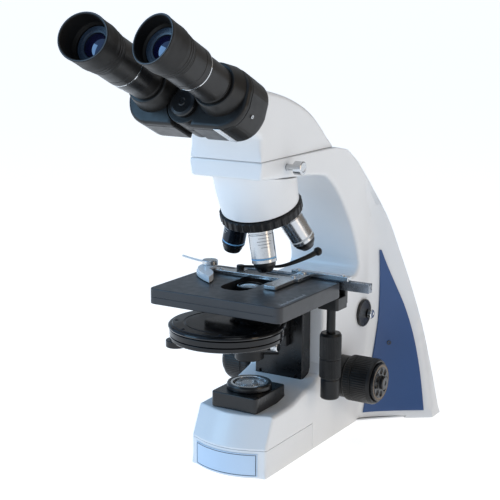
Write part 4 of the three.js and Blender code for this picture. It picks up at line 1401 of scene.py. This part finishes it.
# ---------- condenser ----------
def condenser_carrier():
    ring = hoop(17.4, 24, CARRIER_LOW, CARRIER_TOP, STAND, 0.7, ROUND)
    neck = block(-13, 13, 19, 57.6, CARRIER_LOW, CARRIER_TOP, 1.5, 0.7)
    plate = block(-13, 13, 50, 57.6, 108, 158, 1.5, 0.7)
    merged(ring, neck, plate)
    return cut(ring, bore(17.4, 100, 140, STAND, ROUND), bore(2.4, 15, 40, along_x(0, CONDENSER_SCREW_Z), 32))


def phase_case():
    """Two stacked discs with a barrel above and below, and a small lobe at the rim."""
    middle = at(0, CASE_CENTRE_Y)
    r = CASE_R
    upper = [(0, 149.6), (r - 0.6, 149.6), (r, 150.1), (r + 0.7, 151.2), (r + 0.3, 152.4), (r - 1, 153.3),
             (r - 3.4, 153.5), (r - 3.8, 154), (r - 14, 154), (r - 14.5, 153.6), (r - 15.5, 153.6),
             (r - 16, 154), (0, 154)]
    lower = [(0, 137), (r - 8, 137), (r - 8.4, 137.6), (r - 3.4, 137.6), (r - 1.8, 138.2), (r - 1, 139.2),
             (r - 1, 142.2), (r - 1.6, 142.6), (0, 142.6)]
    body = lathe(upper, 0.4, middle, 160)
    barrel_low = [(0, 119.4), (16.4, 119.4), (17, 120), (17, 128), (16.6, 128.4), (17, 128.8), (17, 138),
                  (0, 138)]
    barrel_top = [(0, 153), (17, 153), (17, 160.4), (15.4, 162), (13.2, 162.4), (13.2, 180.9),
                  (12.6, 181.5), (0, 181.5)]
    merged(
        body,
        lathe(lower, 0.4, middle, 160),
        bore(6, 140, 152, middle),
        lathe(barrel_low, 0.3, STAND, ROUND),
        lathe(barrel_top, 0.3, STAND, ROUND),
        disc(10, 131, 138, at(-38, -72), 1.0),
        disc(14.5, 118, 120, STAND, 0.3),
    )
    channel = [(0, 100), (9, 100), (9, 178.4), (11.4, 178.4), (11.4, 190), (0, 190)]
    return cut(body, turned(channel, STAND))


def phase_wheel():
    r = CASE_R - 0.6
    profile = [(6.4, 143), (r - 0.8, 143), (r, 143.7), (r, 148.5), (r - 0.8, 149.2), (6.4, 149.2)]
    wheel = lathe(profile, 0.3, at(0, CASE_CENTRE_Y), 720, ribs(120, 0.45, 143.9, 148.3, r - 0.2))
    stops = []
    for k in range(5):
        angle = math.pi / 2 + k / 5 * TAU
        x = -CASE_CENTRE_Y * math.cos(angle)
        stops.append(disc(10, 140, 152, at(x, CASE_CENTRE_Y - CASE_CENTRE_Y * math.sin(angle)), 0, 48))
    return cut(wheel, *stops)


def case_screws():
    spots = [(CASE_R - 7, math.radians(a)) for a in (205, 245, 295, 335)]
    places = [at(r * math.cos(a), CASE_CENTRE_Y + r * math.sin(a), 153.9) for r, a in spots]
    return gathered(*[cap_screw(1.8, 0.5, place) for place in places])


def aperture_ring():
    profile = [(9, 107), (13.9, 107), (14.5, 107.7), (14.5, 116.4), (13.6, 117.6), (9, 117.6)]
    ring = lathe(profile, 0.4, STAND, 288, ribs(48, 0.35, 108.2, 115.8, 14.2))
    path = [(12, 6, 112), (16, 8, 112), (20, 10, 112), (26, 13, 112)]
    return merged(ring, rod(path, [1.2, 1.2, 1.2, 1.2]))


def condenser_screw():
    profile = [(0, 17.6), (1.6, 17.6), (2, 18), (2, 26), (4.5, 26), (4.5, 32.5), (4, 33), (0, 33)]
    return lathe(profile, 0.3, along_x(0, CONDENSER_SCREW_Z), 144, ribs(24, 0.3, 26.6, 32.4, 4.2))


def condenser():
    put("condenser_mount", condenser_carrier(), BLACK, "condenser_carrier")
    put("phase_case", phase_case(), GLOSS, "phase_turret_case")
    put("phase_case_screws", case_screws(), DARK_METAL, body="condenser")
    put("phase_selector", phase_wheel(), GLOSS, "phase_wheel")
    lens = [(0, 178.8), (11, 178.8), (11, 180)]
    lens += [(r, 182.2 - 2.1 * (r / 11) ** 2) for r in (9.5, 8, 6, 4, 2, 0)]
    put("condenser_lens", turned(lens, STAND, 72), GLASS, "condenser_top_lens")
    put("aperture_control", aperture_ring(), PLASTIC, "aperture_ring")
    put("condenser_thumb_screw", condenser_screw(), CHROME, "condenser_clamp_screw")


# ---------- focus drive ----------
def coarse_knob(sign):
    profile = [(2.7, 56), (21.4, 56), (22, 56.4), (23.4, 57.2), (24, 58.4), (24, 64.8), (23.3, 65.2),
               (23.3, 66.2), (24, 66.6), (24, 84.6), (23.4, 86.4), (22.4, 88), (20.8, 88), (20.4, 87.6),
               (20.4, 85.5), (2.7, 85.5)]
    grip = ribs(60, 0.55, 58.6, 84.4, 23.6, smooth=(64.7, 66.8))
    return lathe(profile, 0.35, on_focus_axle(sign), 360, grip)


def fine_knob(sign):
    """Dished dial with finger dimples round a knurled hub."""
    place = on_focus_axle(sign)
    profile = [(0, 86.2), (19, 86.2), (19.6, 86.7), (19.6, 90.6), (19.1, 91.2), (18.7, 91.2), (18.7, 90.9),
               (16.3, 90.9), (16.3, 91.5), (8.2, 91.5), (7.4, 91.8), (7, 92.4), (7, 95.3), (6.2, 96),
               (2.6, 96), (2.2, 95.4), (0, 95.4)]
    dial = lathe(profile, 0.3, place, 240, ribs(40, 0.3, 86.9, 90.2, 19.4))
    dimple = [(0, -4.6), (1.8, -4.3), (2.9, -3.6), (3.6, -2.6), (3.9, 0), (0, 0.2)]
    dimples = []
    for k in range(8):
        spin = spun(place, TAU * k / 8) @ Matrix.Translation((12.1, 0, 94.2))
        dimples.append(turned(dimple, spin, 32))
    return cut(dial, *dimples)


def focus():
    sleeve = hoop(2.7, 7.4, -60, 60, on_focus_axle(), 0.3, 48)
    axle = disc(2.2, -86.3, 86.3, on_focus_axle(), 0.2, 32)
    put("coarse_focus_knobs", gathered(coarse_knob(1), coarse_knob(-1), sleeve), PLASTIC, "coarse_knobs")
    put("fine_focus_dials", gathered(fine_knob(1), fine_knob(-1), axle), BLACK, "fine_knobs")
    places = [on_focus_axle(1), on_focus_axle(-1)]
    rings = [hoop(16.4, 18.6, 90.8, 91.1, p, 0.1, ROUND) for p in places]
    put("fine_dial_rings", gathered(*rings), BRONZE, body="fine")
    marks = [radial_ticks(50, 18.4, (0.22, 1.1, 0.12), p @ Matrix.Translation((0, 0, 91.06))) for p in places]
    put("fine_dial_marks", gathered(*marks), INK, body="fine")
    collar = [(8, 43), (21.2, 43), (22, 43.8), (22, 54.6), (21.2, 55.6), (8, 55.6)]
    ring = lathe(collar, 0.4, on_focus_axle(), 240, ribs(24, 0.9, 45, 53.6, 21.6))
    put("tension_ring", ring, PLASTIC, "tension_collar")
    spacer = hoop(8, 18, 42.8, 55.6, on_focus_axle(-1), 0.8, 72)
    put("axle_bush", spacer, PLASTIC, "axle_spacer")
    stop = [(0, BASE_HALF + GAP), (15, BASE_HALF + GAP), (15, 45.2), (14.2, 46), (12.4, 46), (12, 45.6),
            (0, 45.6)]
    disc_place = along_x(165, 122.4)
    put("focus_stop_plate", lathe(stop, 0.3, disc_place, ROUND), BLACK, "focus_stop_disc")
    head_profile = [(0, 46.3), (4.6, 46.3), (5, 46.8), (5, 50.2), (4.4, 51), (2.2, 51), (1.9, 50.6),
                    (0, 50.6)]
    knob = lathe(head_profile, 0.25, along_x(173, 120), 168, ribs(28, 0.35, 47, 50, 4.7))
    put("focus_stop_knob", knob, CHROME, "focus_stop_screw")


# ---------- studio ----------
def studio():
    """A white sweep that glows a little, so that it stays white away from the lights."""
    material = bpy.data.materials.new("studio_floor")
    material.use_nodes = True
    fill(material.node_tree.nodes["Principled BSDF"], {
        "Base Color": (FLOOR_TONE, FLOOR_TONE, FLOOR_TONE, 1),
        "Roughness": 0.9,
        "Specular IOR Level": 0.1,
        "Emission Color": (1, 1, 1, 1),
        "Emission Strength": FLOOR_GLOW,
    })
    bm = bmesh.new()
    bmesh.ops.create_grid(bm, x_segments=1, y_segments=1, size=FLOOR_SIZE)
    mesh = bpy.data.meshes.new("studio_floor")
    bm.to_mesh(mesh)
    bm.free()
    mesh.materials.append(material)
    added("studio_floor", mesh)


def area_light(name, place, size, power, colour):
    data = bpy.data.lights.new(name, "AREA")
    data.shape = "RECTANGLE"
    data.size, data.size_y = size
    data.energy = power
    data.color = colour
    light = added(name, data)
    light.location = place
    target = Vector((0, AXIS_Y, LIT_POINT_Z))
    light.rotation_euler = (target - Vector(place)).to_track_quat("-Z", "Y").to_euler()


def sky():
    """Cool light from the front left that turns to a dim warm room on the right."""
    world = bpy.data.worlds.new("studio_world")
    world.use_nodes = True
    nodes = world.node_tree.nodes
    towards = nodes.new("ShaderNodeVectorMath")
    towards.operation = "DOT_PRODUCT"
    fill(towards, {0: nodes.new("ShaderNodeTexCoord").outputs["Generated"], 1: SKY_SIDE})
    span = {"Value": towards.outputs["Value"], "From Min": -1, "From Max": 1}
    share = added_node(nodes, "ShaderNodeMapRange", span).outputs["Result"]
    ramp = added_node(nodes, "ShaderNodeValToRGB", {"Fac": share})
    colours = ramp.color_ramp.elements
    colours[0].color = (0.52, 0.45, 0.38, 1)
    colours[1].color = (0.52, 0.92, 1.50, 1)
    colours.new(0.5).color = (0.60, 0.68, 0.76, 1)
    fill(nodes["Background"], {"Color": ramp.outputs["Color"], "Strength": SKY_STRENGTH})
    bpy.context.scene.world = world


def lights():
    sky()
    area_light("sky_window", (-1.3, -1.5, 1.0), (1.0, 1.4), 14, (0.40, 0.70, 1.0))
    area_light("warm_wall", (1.7, -0.1, 0.7), (0.4, 1.4), 4.5, (1.0, 0.78, 0.55))
    area_light("top_soft", (0.3, 0.3, 2.2), (1.6, 1.6), 5, (1.0, 0.98, 0.95))
    bpy.context.scene.view_settings.view_transform = "Standard"


def camera():
    data = bpy.data.cameras.new("camera")
    data.lens = CAMERA_LENS
    data.sensor_width = SENSOR_WIDTH
    data.clip_end = VIEW_DISTANCE
    view = added("camera", data)
    x, y, z = CAMERA_PLACE
    turn = Matrix.Rotation(CAMERA_TURN, 4, "Z") @ Matrix.Rotation(math.pi / 2 - CAMERA_PITCH, 4, "X")
    place = Matrix.Translation((x * MM, y * MM + AXIS_Y, z * MM))
    view.matrix_world = place @ turn @ Matrix.Rotation(CAMERA_ROLL, 4, "Z")
    bpy.context.scene.camera = view


camera()
stand()
illuminator()
head()
nosepiece()
stage()
condenser()
focus()
studio()
lights()
